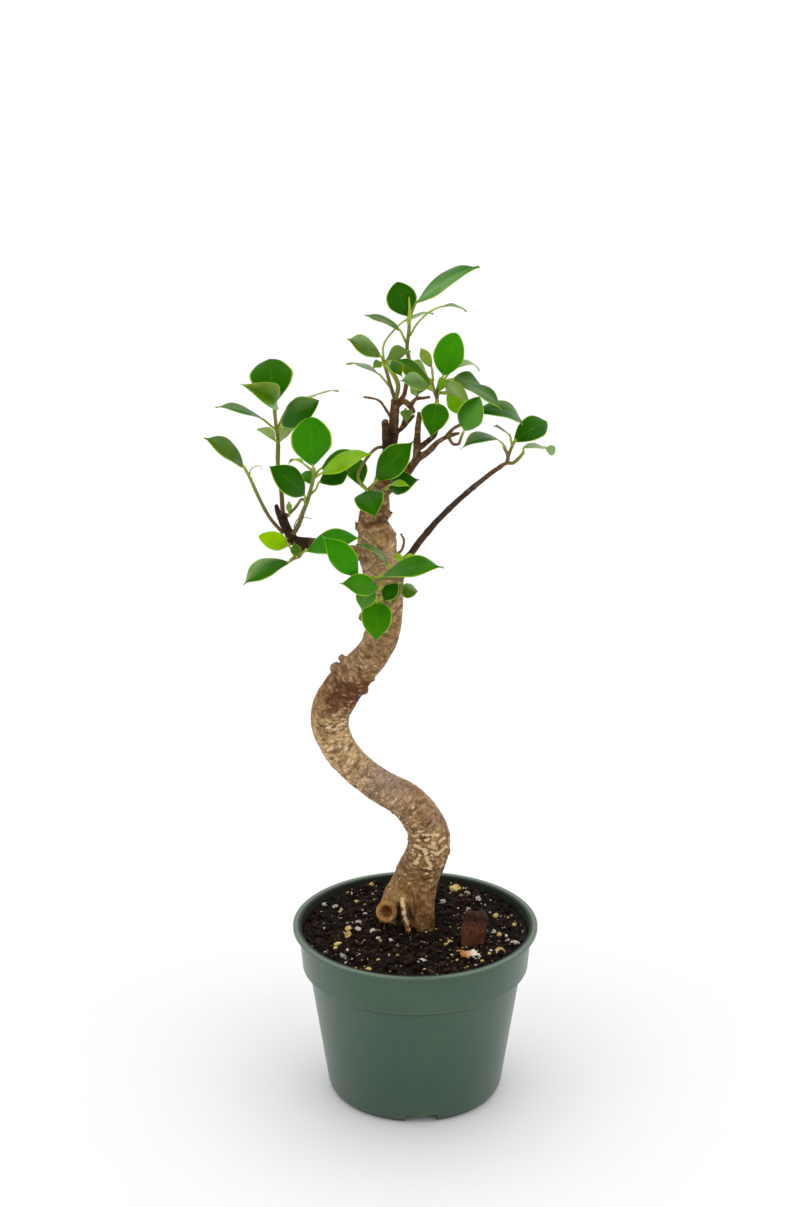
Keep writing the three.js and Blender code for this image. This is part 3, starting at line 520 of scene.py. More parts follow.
def buildPot():
    shell = turnedPiece("growersPot", potOutline())
    quarters = [i * math.pi / 2 + pot["channelTurn"] for i in range(4)]
    wall, width, height = pot["wall"], pot["channelWidth"], pot["channelHeight"]
    drain, holeTop = pot["drainRadius"], 14
    for turn in quarters:
        roof = radialBox("roof", width + 2 * wall, pot["footRadius"], -1, height + wall, turn)
        cut(roof, turnedPiece("envelope", envelopeOutline()), "INTERSECT")
        cut(shell, roof, "UNION")
    for turn in quarters:
        cut(shell, radialBox("channel", width, pot["rimRadius"], -1, height, turn), "DIFFERENCE")
        spot = Matrix.Rotation(turn, 3, "Z") @ Vector((0, -pot["drainCircle"], 0))
        hole = turnedPiece("hole", ((0, -2), (drain, -2), (drain, holeTop), (0, holeTop)))
        hole.data.transform(Matrix.Translation(spot))
        cut(shell, hole, "DIFFERENCE")
    smoothWith(shell, potPlastic)
    shell.data.set_sharp_from_angle(angle=math.radians(pot["sharpFrom"]))
    return shell


# Satin green plastic: faint upright flow marks, worn edges, a painted highlight along the top of the rim,
# dust that clings low down, a body that darkens towards the foot, a darker inner wall and inner rim edge,
# and painted shade in its channels and under its band
def buildPotPlastic():
    made, sheet, surface = newMaterial("greenPotPlastic")
    place, top = sheet.place(), pot["height"]
    clouds, grain, specks = sheet.mottled(place, 0.035, 1.6, 0.9)
    height = sheet.xyz(place)[2]
    flow = sheet.noise(place * (1.0, 1.0, 0.03), 0.55, 4.0, 0.6)
    scuffs = sheet.smooth(sheet.noise(place * (0.25, 0.25, 1.4), 0.5, 5.0, 0.7), 0.66, 0.74)
    edgeWear = sheet.smooth(abs(height - bandBase), 1.4, 0.2) * sheet.smooth(grain, 0.42, 0.6)
    # painted highlight: the top of the rim is made lighter
    rimHighlight = sheet.smooth(height, top - 0.7, top - 0.2) * 0.4
    dust = sheet.smooth(height, 26.0, 0.0) * sheet.smooth(grain, 0.45, 0.7) * 0.25
    radius = sheet.vectors("LENGTH", place * (1.0, 1.0, 0.0))
    # the inner wall above the soil and the inner edge of the rim top turn darker; inside the channels the
    # darkening is painted shade
    inner = (height - bandBase) * 0.1 + (pot["bandFoot"] - pot["wall"])
    inside = sheet.smooth(radius - inner, 0.9, 0.5) * sheet.smooth(height, bandBase, bandBase + 3)
    lip = sheet.smooth(height, top - 0.5, top - 0.2) * sheet.smooth(radius, 73.6, 72.9)
    channel = sheet.smooth(radius - height * pot["slope"], 53.6, 53.0) * sheet.smooth(height, 9.0, 8.0)
    # painted shade: a dark line on the body under the overhang of the band
    ledge = sheet.smooth(height, bandBase - 4.0, bandBase - 1.4) * sheet.smooth(radius, 68.6, 68.0) * 0.7
    dirtAndShade = sheet.most(inside, lip, channel) * (0.7 + grain * 0.4)
    colour = sheet.coated(
        pot["colour"],
        (clouds * 0.35, pot["cloudColour"]),
        (sheet.smooth(flow, 0.45, 0.75) * 0.22, pot["flowColour"]),
        (scuffs * 0.3 + edgeWear * 0.45 + rimHighlight, pot["wornAndHighlightColour"]),
        (dust + specks * 0.06, pot["dustColour"]),
        # the body turns darker towards the foot
        (sheet.smooth(height, 96.0, 20.0) * 0.35, pot["flowColour"]),
        (sheet.most(dirtAndShade, ledge), pot["dirtAndShadeColour"]))
    rough = 0.26 + grain * 0.14 + dust * 0.4 + scuffs * 0.12 + dirtAndShade * 0.4
    sheet.finish(surface, colour, rough, grain * 0.5 + flow * 0.8 + scuffs * 0.6, 0.12, 0.0002)
    return made


turning = buildTurning()
potPlastic = buildPotPlastic()
finished(buildPot(), "pot", "pot")
print("pot made")


# Grains strewn on the soil: each source point has its own size and turn
def buildGrains():
    sheet, given, out = geometryTree("strewnGrains", [
        ("Roundness", "Int", 2), ("Lumps per mm", "Float", 0.6), ("Lumpiness", "Float", 0.5)])
    ball = sheet.first("GeometryNodeMeshIcoSphere", {"Radius": 0.5, "Subdivisions": given["Roundness"]})
    size = sheet.attribute("grainSize", "FLOAT_VECTOR")
    turn = sheet.first("FunctionNodeEulerToRotation", {0: sheet.attribute("grainTurn", "FLOAT_VECTOR")})
    grains = sheet.planted(given["Geometry"], ball, Rotation=turn, Scale=size)
    push = (sheet.wander(sheet.position(), given["Lumps per mm"], 0.6)
            * (sheet.vectors("LENGTH", size) * given["Lumpiness"]))
    return sheet.handOut(out, sheet.moved(grains, "Offset", push), given["Material"])


grainTree = buildGrains()

soil = {
    "level": 104.5,
    "mound": 2.2,
    "edgeRise": 1,
    "bankRise": 3.0,         # how much higher the soil lies at the back
    "bankStart": 15,
    "bankLength": 45,
    "slopeStart": 64,
    "slopeLength": 5.6,
    "relief": 1.1,
    "clearance": 0.3,
    "rings": 84,
    "spokes": 320,
    "peat": srgb(17, 10, 6),
    "peatLight": srgb(54, 34, 21),
    "crumb": srgb(40, 25, 17),
    "crumbLight": srgb(84, 53, 35),
    "fibre": srgb(104, 68, 38),
    "damp": srgb(13, 8, 6),
    "speck": srgb(134, 102, 66),
}


def soilLevelAt(x, y):
    radius = math.hypot(x, y) / pot["rimRadius"]
    crumbs = math.sin(x * 0.31 + 1.7) * math.cos(y * 0.27 - 0.6) + 0.7 * math.sin(x * 0.61 - y * 0.53 + 0.4)
    level = soil["level"] + soil["mound"] * (1 - radius * radius * 1.6) + soil["relief"] * crumbs * 0.7
    outer = min(max((math.hypot(x, y) - soil["slopeStart"]) / soil["slopeLength"], 0), 1)
    bank = soil["bankRise"] * min(max((y - soil["bankStart"]) / soil["bankLength"], 0), 1) ** 1.5
    return level * (1 - outer) + (soil["level"] + soil["edgeRise"]) * outer + bank


def crumble(x, y):
    place = Vector((x, y, 0))
    cells = noise.voronoi(place * 0.3)[0]
    fine = noise.voronoi(place * 0.75 + Vector((7, 3, 0)))[0]
    lumps = (0.55 - cells[0]) * 1.9 + (0.5 - fine[0]) * 0.8
    return lumps + 0.9 * noise.noise(place * 0.18) + 0.3 * noise.noise(place * 1.7)


def wallInside(height):
    share = (height - bandBase) / pot["bandHeight"]
    outside = pot["bandFoot"] + (pot["rimRadius"] - pot["lipWidth"] - pot["bandFoot"]) * share
    return outside - pot["wall"]


def buildSoil():
    clearance, spokes = soil["clearance"], soil["spokes"]
    edge = wallInside(soil["level"] + soil["edgeRise"]) - clearance
    ledge = bandBase + pot["wall"]
    roof = pot["channelHeight"] + pot["wall"] + clearance
    narrow = pot["wall"] + clearance
    points, faces = [(0, 0, soilLevelAt(0, 0) + crumble(0, 0))], []

    def ring(radius, heightAt):
        for j in range(spokes):
            angle = j / spokes * 2 * math.pi
            x, y = radius * math.cos(angle), radius * math.sin(angle)
            points.append((x, y, heightAt(x, y)))

    for i in range(1, soil["rings"] + 1):
        radius = edge * i / soil["rings"]
        settle = 0.25 + 0.75 * min((edge - radius) / 6, 1)      # crumbs are lower by the wall
        ring(radius, lambda x, y: soilLevelAt(x, y) + crumble(x, y) * settle)
    ring(wallInside(ledge) - clearance, lambda x, y: ledge + clearance)
    ring(bodyRadius(bandBase) - narrow, lambda x, y: ledge - 0.6 + clearance)
    ring(bodyRadius(roof) - narrow - 0.6, lambda x, y: roof)
    bottom = len(points)
    points.append((0, 0, roof))
    lastRing = 1 + (soil["rings"] + 2) * spokes
    for j in range(spokes):
        k = (j + 1) % spokes
        faces.append((0, 1 + j, 1 + k))
        faces.append((bottom, lastRing + k, lastRing + j))
        for a in range(1, lastRing, spokes):
            faces.append((a + j, a + spokes + j, a + spokes + k, a + k))
    return smoothWith(meshObject("pottingSoil", points, faces=faces), peatMaterial)


def buildPeat(name, dark, light, roughness):
    made, sheet, surface = newMaterial(name, shine=0.2)
    place = sheet.place()
    clouds, grain, specks = sheet.mottled(place, 0.16, 1.1, 2.2)
    fibre = sheet.noise(place * (2.6, 0.5, 1.0), 0.8, 4.0, 0.6, 1.2)
    shade = sheet.painted("grainShade")
    colour = sheet.coated(
        dark,
        (sheet.smooth(grain, 0.42, 0.7) * 0.4 + shade * shade * 0.6, light),
        (sheet.smooth(fibre, 0.62, 0.72) * 0.5, soil["fibre"]),
        (clouds * 0.55, soil["damp"]),
        (specks * 0.3, soil["speck"]))
    sheet.finish(surface, colour, roughness + grain * 0.3, grain + fibre * 0.7, 0.8, 0.0008)
    return made


peatMaterial = buildPeat("peat", soil["peat"], soil["peatLight"], 0.62)
barkCrumbMaterial = buildPeat("barkCrumb", soil["crumb"], soil["crumbLight"], 0.6)
finished(buildSoil(), "soil", "soil")


def buildWhiteGrain(name, grains):
    made, sheet, surface = newMaterial(name)
    look = strewn[grains]
    clouds, grain = sheet.mottled(sheet.place(), 0.5, 2.5, 1.6)[:2]
    colour = sheet.coated(
        look["light"],
        (clouds * 0.35 + sheet.painted("grainShade") * 0.5, look["tint"]),
        (sheet.smooth(grain, 0.58, 0.72) * 0.7, look["speck"]))
    sheet.finish(surface, colour, look["roughness"] + grain * 0.2, grain, 0.5, 0.0004)
    return made


# What lies on the soil. Sizes are lengths in mm from the smallest to the largest grain, flat is how much
# thinner than long they are, and sink is the share of a grain that is buried. Growth is how much larger
# than read the grains are that show in the picture.
strewn = {
    "peatCrumbs": {"count": 2400, "sizes": (0.8, 4.6), "flat": (0.75, 0.6), "sink": 0.25,
                   "lumpiness": 0.5, "seed": 21},
    "barkCrumbs": {"count": 420, "sizes": (1.8, 7.0), "flat": (0.5, 0.38), "sink": 0.2,
                   "lumpiness": 0.4, "seed": 22},
    "perliteGrains": {"count": 260, "sizes": (0.5, 2.4), "flat": (0.8, 0.6), "sink": 0.3,
                      "lumpiness": 0.9, "seed": 23, "growth": 1.2, "roughness": 0.6,
                      "light": srgb(216, 210, 200), "tint": srgb(170, 156, 136),
                      "speck": srgb(110, 90, 70)},
    "vermiculiteFlakes": {"count": 320, "sizes": (0.5, 2.6), "flat": (0.8, 0.5), "sink": 0.25,
                          "lumpiness": 0.6, "seed": 24, "growth": 1.5, "roughness": 0.4,
                          "light": srgb(226, 204, 126), "tint": srgb(180, 146, 66),
                          "speck": srgb(244, 232, 190)},
}

# Pale grains that show in the picture: x, y and length in mm
whiteSpots = [
    (441, 882, 4.0), (456, 894, 3.2), (468, 897, 3.0), (478, 902, 3.4), (443, 905, 3.6), (468, 911, 4.4),
    (515, 945, 4.4), (508, 941, 3.0), (500, 953, 2.6), (421, 964, 3.4), (427, 934, 4.2), (358, 932, 4.0),
    (318, 904, 3.2), (325, 907, 3.0), (353, 897, 3.0), (343, 957, 3.8), (378, 942, 2.8), (392, 944, 3.4),
    (412, 942, 2.2), (336, 909, 3.4), (365, 917, 2.4), (359, 925, 4.4), (372, 934, 3.2), (397, 947, 3.0),
    (494, 934, 2.6), (504, 930, 2.2), (462, 899, 4.2), (340, 913, 2.0), (308, 912, 2.0), (389, 958, 1.6),
]
yellowSpots = [
    (455, 893, 4.6), (475, 890, 4.0), (495, 918, 3.4), (514, 925, 3.6), (500, 953, 4.0), (490, 955, 2.4),
    (483, 963, 3.0), (347, 936, 4.2), (338, 945, 3.8), (357, 905, 2.4), (372, 890, 2.8), (378, 880, 2.6),
    (368, 970, 3.2), (450, 944, 3.0), (446, 948, 2.2), (361, 962, 2.4), (430, 868, 2.4), (499, 936, 2.6),
    (348, 932, 3.0), (335, 950, 2.4),
]


def strewnPoints(place, spots):
    pick = random.Random(place["seed"])
    points, sizes, turns, shades = [], [], [], []
    low, high = place["sizes"]
    reach = wallInside(soil["level"]) - 2
    lying = [(*seenAtHeight(px, py, soil["level"])[:2], length * place["growth"])
             for px, py, length in spots]
    lying = [(x, y, length) for x, y, length in lying if math.hypot(x, y) < reach]
    for i in range(place["count"]):
        radius, angle = reach * math.sqrt(pick.random()), pick.uniform(0, 2 * math.pi)
        length = low * (high / low) ** (pick.random() ** 1.6)       # small grains are the most common
        lying.append((radius * math.cos(angle), radius * math.sin(angle), length))
    for x, y, length in lying:
        width = length * place["flat"][0] * pick.uniform(0.8, 1.3)
        thick = length * place["flat"][1] * pick.uniform(0.8, 1.2)
        points.append((x, y, soilLevelAt(x, y) + crumble(x, y) + thick * (0.5 - place["sink"])))
        sizes.append((length, width, thick))
        turns.append((pick.uniform(-0.6, 0.6), pick.uniform(-0.6, 0.6), pick.uniform(0, 6.28)))
        shades.append(pick.random())
    return meshObject("points", points, attributes={
        "grainSize": sizes, "grainTurn": turns, "grainShade": shades})


def strew(name, material, slot, spots=()):
    finished(grown(strewnPoints(strewn[name], spots), grainTree, {
        "Roundness": 2, "Lumps per mm": 0.8, "Lumpiness": strewn[name]["lumpiness"],
        "Material": material}, name), slot)


perliteMaterial = buildWhiteGrain("perlite", "perliteGrains")
vermiculiteMaterial = buildWhiteGrain("vermiculite", "vermiculiteFlakes")
strew("peatCrumbs", peatMaterial, "soil")
strew("barkCrumbs", barkCrumbMaterial, "soil")
strew("perliteGrains", perliteMaterial, "perlite_chip", whiteSpots)
strew("vermiculiteFlakes", vermiculiteMaterial, "perlite_chip", yellowSpots)
print("soil made")


# The two large pieces that lie on the soil

# The bark chip turns dark between the heights of darkTop, and rust sets in on the pale one between the
# places along X of rustSide, all in mm
chips = {
    "barkChip": {"pixel": (473, 936), "height": 111, "size": (16, 10, 37), "lean": (-0.1, 0.12, 0.2),
                 "grain": (0.9, 0.9, 0.14), "depth": 0.9, "ragged": 5.0, "taper": 0.1, "warp": 2.4,
                 "seed": 5, "warpSeed": 4, "dark": srgb(40, 22, 14), "fibre": srgb(120, 70, 40),
                 "red": srgb(74, 36, 22), "fleck": srgb(160, 118, 78), "darkTop": (122, 128)},
    "paleChip": {"pixel": (470, 956), "height": 105.5, "size": (9.5, 7, 5.5), "lean": (0.1, 0.2, 0.5),
                 "grain": (0.5, 0.5, 0.6), "depth": 1.5, "ragged": 0.6, "taper": 0.0, "warp": 1.0,
                 "seed": 9, "warpSeed": 4, "pale": srgb(244, 238, 224), "rust": srgb(206, 138, 66),
                 "stain": srgb(190, 130, 80), "fleck": srgb(120, 70, 40), "rustSide": (35, 32)},
}


def buildChip(name, material):
    place = chips[name]
    work = bmesh.new()
    bmesh.ops.create_icosphere(work, subdivisions=6, radius=0.5)
    leanX, leanY, leanZ = (Matrix.Rotation(angle, 3, axis) for angle, axis in zip(place["lean"], "XYZ"))
    lean = leanZ @ leanY @ leanX
    noise.seed_set(place["warpSeed"])
    spot = seenAtHeight(*place["pixel"], place["height"])
    shift = Vector((place["seed"] * 3.1, 0, 0))
    for vertex in work.verts:
        blunt = vertex.co * (0.5 / max(max(abs(c) for c in vertex.co), 0.29) * 0.6 + 0.4)
        point = Vector(c * s for c, s in zip(blunt, place["size"]))
        grain = Vector(c * s for c, s in zip(point, place["grain"])) + shift
        swell = noise.fractal(grain * 0.8, 1.0, 2.0, 4) * 0.6 + (0.4 - noise.voronoi(grain * 0.6)[0][0]) * 0.8
        ridges = noise.noise(Vector((point.x * 0.5, point.y * 0.5, point.z * 0.12)) + shift)
        point += vertex.normal * (swell + ridges * 0.4) * place["depth"]
        point *= 1 - place["taper"] * (vertex.co.z + 0.5)
        point += noise.noise_vector(point * 0.1 + shift) * place["warp"]
        end = max(abs(vertex.co.z) * 2 - 0.5, 0) * math.copysign(1, vertex.co.z)
        point.z += end * place["ragged"] * noise.noise(Vector((point.x * 0.22, point.y * 0.22, end)) + shift)
        vertex.co = lean @ point + spot
    return smoothWith(fromWork(name, work), material)


def buildChipBark():
    made, sheet, surface = newMaterial("chipBark")
    place, look = sheet.place(), chips["barkChip"]
    clouds, grain, specks = sheet.mottled(place, 0.22, 0.9, 1.4)
    fibres = sheet.noise(place * (1.0, 1.0, 0.2), 1.3, 5.0, 0.7)
    top = sheet.smooth(sheet.xyz(place)[2] + grain * 8.0, *look["darkTop"])
    colour = sheet.coated(
        look["dark"],
        (sheet.smooth(fibres, 0.38, 0.62), look["fibre"]),
        (clouds * 0.6, look["red"]),
        (specks * 0.4, look["fleck"]),
        (top * 0.7, soil["peat"]))
    sheet.finish(surface, colour, 0.55 + grain * 0.3, grain * 0.6 + fibres, 0.8, 0.0008)
    return made


def buildPaleStone():
    made, sheet, surface = newMaterial("paleStone")
    place, look = sheet.place(), chips["paleChip"]
    clouds, grain, specks = sheet.mottled(place, 0.3, 1.2, 0.9)
    rust = sheet.smooth(sheet.xyz(place)[0] + (grain - 0.5) * 14.0, *look["rustSide"])
    colour = sheet.coated(
        look["pale"],
        (rust, look["rust"]),
        (clouds * 0.2, look["stain"]),
        (specks * 0.5, look["fleck"]))
    sheet.finish(surface, colour, 0.5 + grain * 0.3, grain, 0.5, 0.0005)
    return made


finished(buildChip("barkChip", buildChipBark()), "bark_chip", "bark_chip")
finished(buildChip("paleChip", buildPaleStone()), "perlite_chip", "perlite_chip")
print("chips made")


# Stems and thin twigs: tubes along smooth lines, with a girth and a ripeness at each point
def buildTubes():
    sheet, given, out = geometryTree("stemTubes", [
        ("Step", "Float", 1.5), ("Sides", "Int", 10), ("Knobs", "Float", 0.1)])
    line = sheet.first("GeometryNodeMeshToCurve", {"Mesh": given["Geometry"]})
    bent = sheet.first("GeometryNodeCurveSplineType", {"Curve": line}, spline_type="CATMULL_ROM")
    even = sheet.first("GeometryNodeResampleCurve", {"Curve": bent, "Length": given["Step"]}, mode="LENGTH")
    ring = sheet.first("GeometryNodeCurvePrimitiveCircle", {"Resolution": given["Sides"], "Radius": 1.0})
    girth = sheet.attribute("girth")
    swell = sheet.smooth(sheet.noise(sheet.position(), 0.24, 1.0), 0.46, 0.66) * sheet.smooth(girth, 7.0, 3.0)
    tube = sheet.first("GeometryNodeCurveToMesh", {
        "Curve": even, "Profile Curve": ring, "Scale": girth * (1.0 + swell * given["Knobs"]),
        "Fill Caps": True})
    return sheet.handOut(out, sheet.shaded(sheet.real(tube)), given["Material"])


tubeTree = buildTubes()


def tubes(name, lines, step, sides, material=None, knobs=0.15):
    # each line is a row of (place, girth, ripeness)
    points, edges, girths, ripeness = [], [], [], []
    for line in lines:
        first = len(points)
        for place, girth, ripe in line:
            points.append(place)
            girths.append(girth)
            ripeness.append(ripe)
        edges += [(i, i + 1) for i in range(first, len(points) - 1)]
    source = meshObject(name, points, edges, attributes={"girth": girths, "ripeness": ripeness})
    return grown(source, tubeTree, {
        "Step": step, "Sides": sides, "Knobs": knobs, "Material": material}, name)


def tapered(route, radii, ripe=(0.0, 0.0)):
    last = len(route) - 1
    return [(place, radii[0] + (radii[1] - radii[0]) * i / last, ripe[0] + (ripe[1] - ripe[0]) * i / last)
            for i, place in enumerate(route)]


# Trunk, roots and woody branches, grown as one

# Middle of the trunk in the picture with its depth, and its radius in mm
trunkStations = [
    ((411, 938, 15), 11), ((410, 916, 15), 14.2), ((411, 896, 14), 15.2), ((417, 876, 12), 14),
    ((426, 855, 9), 13.2), ((429, 836, 8), 12.8), ((421, 817, 8), 12), ((404, 799, 9), 11.2),
    ((380, 786, 11), 10.4), ((359, 770, 13), 10), ((342, 752, 15), 10.3), ((331, 730, 17), 11.2),
    ((331, 710, 17), 12), ((341, 691, 15), 12.2), ((357, 671, 12), 11), ((373, 653, 9), 10.2),
    ((382, 634, 7), 10.4), ((384, 610, 5), 11.2), ((384, 582, 4), 11), ((378, 556, 4), 11.4),
    ((376.5, 538, 4), 11.4), ((373, 523, 4), 9), ((376, 508, 3), 8.2), ((379, 494, 2), 6.4),
    ((382, 481, 1), 4.4), ((387, 461, 0), 3.9), ((391, 441, 0), 3.7), ((394, 420, 0), 2.9),
    ((395, 399, -1), 2.4),
]
rootRoutes = {
    "rightRoot": ([(424, 872, 8), (424, 896, 3), (424, 918, 1), (423, 944, 3)], (7, 6.2)),
    "leftRoot": ([(402, 892, 16), (392, 915, 15), (384, 944, 14)], (8.5, 7)),
    "backRoot": ([(418, 880, 22), (422, 892, 32), (426, 908, 38)], (8, 4.5)),
    "cutStump": ([(398, 889, 13), (391, 904, 6), (387, 911, 1.5)], (7.4, 6.2)),
    "paleRoot": ([(399, 897, 1), (403, 905, -2.5), (405, 920, -4), (411, 937, -5)], (2.1, 1.4)),
}
# The cut face of the stump looks this way, with a rolled ring of healing wood round it
stumpFace = {
    "toEye": 0.75,
    "ahead": 2.2,
    "ring": 5.1,
    "roll": 2.1,
    "beads": 18,
    "dish": 3.8,
    "dishReach": 3.6,
    "ringColour": (5.4, 1.8),       # where the pale ring lies, and its width
    "reach": 9,
}

# Place and radius of the small swellings
knobs = [
    ((364, 617, 5), 3.4), ((399, 605, 0), 2.4), ((336, 668, 12), 4), ((342, 658, 12), 2.4),
    ((371, 678, 13), 3), ((364.5, 690, 14), 3), ((381.5, 539.5, -5), 4.2), ((391.5, 535, 2), 3),
    ((387.5, 514, 2), 2.8), ((362.5, 512, 3), 2.2), ((359, 527, 4), 2.8), ((446, 851, 8), 2.8),
    ((413, 838, 8), 2.8),
]
branchRoutes = [
    ([(374, 553, 3), (350, 552, -1), (326, 547, -4), (307, 543, -7), (293, 541, -8)], (4.4, 2.9)),
    ([(294, 543, -8), (288, 531, -7), (284, 521, -6), (283, 513, -5)], (3.0, 2.3)),
    ([(286, 530, -7), (280, 518, -9), (276, 505, -11)], (2.0, 1.4)),
    ([(299, 544, -8), (303, 549, -11), (301, 554, -13)], (2.2, 1.2)),
    ([(386, 518, 0), (390, 514, 0), (392.5, 512, 0)], (1.3, 0.5)),
    ([(361, 530, 2), (357.5, 526, 2), (355.5, 522, 2)], (1.4, 0.5)),
    ([(387.5, 456, 0), (385.5, 440, -3), (385, 420, -4)], (2.3, 1.8)),
    ([(392, 420, -1), (385, 408, -4), (378, 400, -7), (364, 397, -10)], (0.8, 0.6)),
    ([(378, 498, 2), (392, 486, -1), (404, 476, -3), (411, 467, -5), (417, 459, -6)], (3.2, 2.3)),
    ([(416, 462, -6), (417, 443, -6), (418, 427, -5), (420, 412, -4)], (2.3, 1.6)),
    ([(416, 460, -6), (429, 451, -9), (438, 442, -11), (449, 436, -13), (460, 433, -14)], (2.1, 1)),
    ([(419, 448, -6), (428, 441, -6), (435, 434, -5), (438, 420, -4), (437, 405, -3)], (1.7, 1)),
    ([(446, 437, -12), (453, 429, -12), (460, 425, -11)], (1.1, 0.9)),
    ([(448, 436, -13), (453, 444, -15), (459, 444, -16)], (1, 0.8)),
    ([(395, 434, 0), (402, 428, -1), (408, 422, -2), (414, 415, -2)], (1.3, 0.9)),
    ([(396, 406, -1), (403, 401, 1), (410, 406, 1), (414, 413, -1)], (2.1, 1.4)),
    ([(411, 405, 1), (416, 399, 2), (424, 398, 3), (430, 397, 3)], (1.2, 0.7)),
    ([(398, 403, 0), (404, 395, 2), (406, 386, 3)], (1.6, 1.1)),
    ([(401, 429, -1), (404, 421, -3), (405, 413, -4)], (1.1, 0.7)),
    ([(386, 580, 4), (398, 566, 6), (409, 556, 8), (420, 541, 10), (436, 522, 13)], (2.4, 1.9)),
    ([(434, 524, 13), (451, 507, 15), (470, 490, 18), (490, 474, 20), (503, 465, 21.5)], (1.9, 1.4)),
    ([(392, 556, 2), (401, 551, 0), (404, 541, -1), (401, 534, -2)], (0.9, 0.6)),
]

wood = {
    "voxel": 0.78,
    "thickFrom": 1.8,        # limbs at least this thick at their foot are fused into the trunk
    "relief": 0.9,
    "wrinkles": 0.55,
    "spotsPerArea": 0.15,
    "spotLength": 3.2,
    "seed": 4,
    "knobGrowth": 1.12,
    "limbGap": 400.0,        # keeps the grain of each limb apart from that of the next
    "brown": srgb(158, 114, 64),
    "tan": srgb(238, 197, 142),
    "stain": srgb(106, 80, 44),
    "grey": srgb(194, 170, 154),
    "pepper": srgb(92, 76, 66),
    "russet": srgb(104, 56, 26),
    # dark bark, also laid on as painted shade in grooves and creases
    "darkBarkAndShade": srgb(50, 33, 24),
    "cream": srgb(248, 224, 180),
    "pale": srgb(242, 212, 164),
    "honey": srgb(206, 158, 88),
    "heart": srgb(122, 70, 30),
    "groove": srgb(72, 46, 22),
}

# Patches of the bark: x, y and depth of the middle, reach in mm, and strength
barkPatches = {
    "spots": [
        (430, 846, 0, 15, 0.5), (421, 866, 0, 11, 0.4), (334, 737, 8, 15, 0.9), (334, 716, 6, 8, 0.5),
        (358, 782, 6, 12, 0.8), (405, 820, 2, 13, 0.8), (350, 697, 6, 9, 0.3), (372, 664, 4, 10, 0.4),
        (384, 600, -4, 22, 0.2), (395, 884, 0, 12, 0.3),
    ],
    "russet": [
        (342, 694, 6, 13, 1.0), (362, 690, 8, 9, 0.8), (424, 912, -2, 16, 0.7), (352, 672, 8, 8, 0.4),
        (376, 518, -2, 11, 0.9), (437, 868, 2, 10, 0.4), (372, 655, 2, 8, 0.4), (386, 545, -4, 7, 0.4),
        (392, 420, 0, 30, 0.5), (428, 440, -8, 26, 0.35), (404, 476, -3, 16, 0.4),
    ],
    "grey": [
        (388, 780, 4, 17, 0.8), (440, 815, 8, 11, 0.5), (438, 520, 13, 13, 0.5), (456, 503, 15, 14, 0.5),
        (476, 486, 18, 14, 0.5), (345, 668, 10, 12, 0.35), (384, 560, 0, 14, 0.3),
    ],
    "tan": [
        (336, 742, 10, 20, 0.9), (362, 775, 8, 16, 0.7), (400, 805, 4, 16, 0.5), (384, 615, 0, 24, 0.35),
        (372, 660, 4, 12, 0.1), (384, 570, 0, 26, 0.5), (376, 540, -4, 14, 0.8),
    ],
    # these patches darken the bark of the branches and round the stubs
    "darkBarkAndShade": [
        (386, 438, -3, 10, 0.6), (385, 452, -2, 7, 0.5), (392, 430, 0, 14, 0.35), (379, 651, 0, 12, 0.25),
        (300, 543, -10, 13, 1.0), (284, 522, -8, 12, 0.9), (276, 505, -14, 8, 0.9), (428, 440, -8, 24, 0.1),
        (385, 400, -4, 14, 0.1), (438, 520, 13, 13, 0.6), (456, 503, 15, 14, 0.6), (476, 486, 18, 14, 0.6),
        (496, 469, 20, 12, 0.4), (411, 552, 8, 8, 0.7), (423, 537, 10, 11, 0.6), (452, 432, -4, 16, 0.5),
        (434, 448, -6, 12, 0.35), (355, 552, -2, 12, 0.3),
    ],
    "honey": [
        (398, 892, 4, 12, 0.25), (424, 900, 2, 14, 0.1), (378, 915, 10, 9, 0.4),
    ],
}
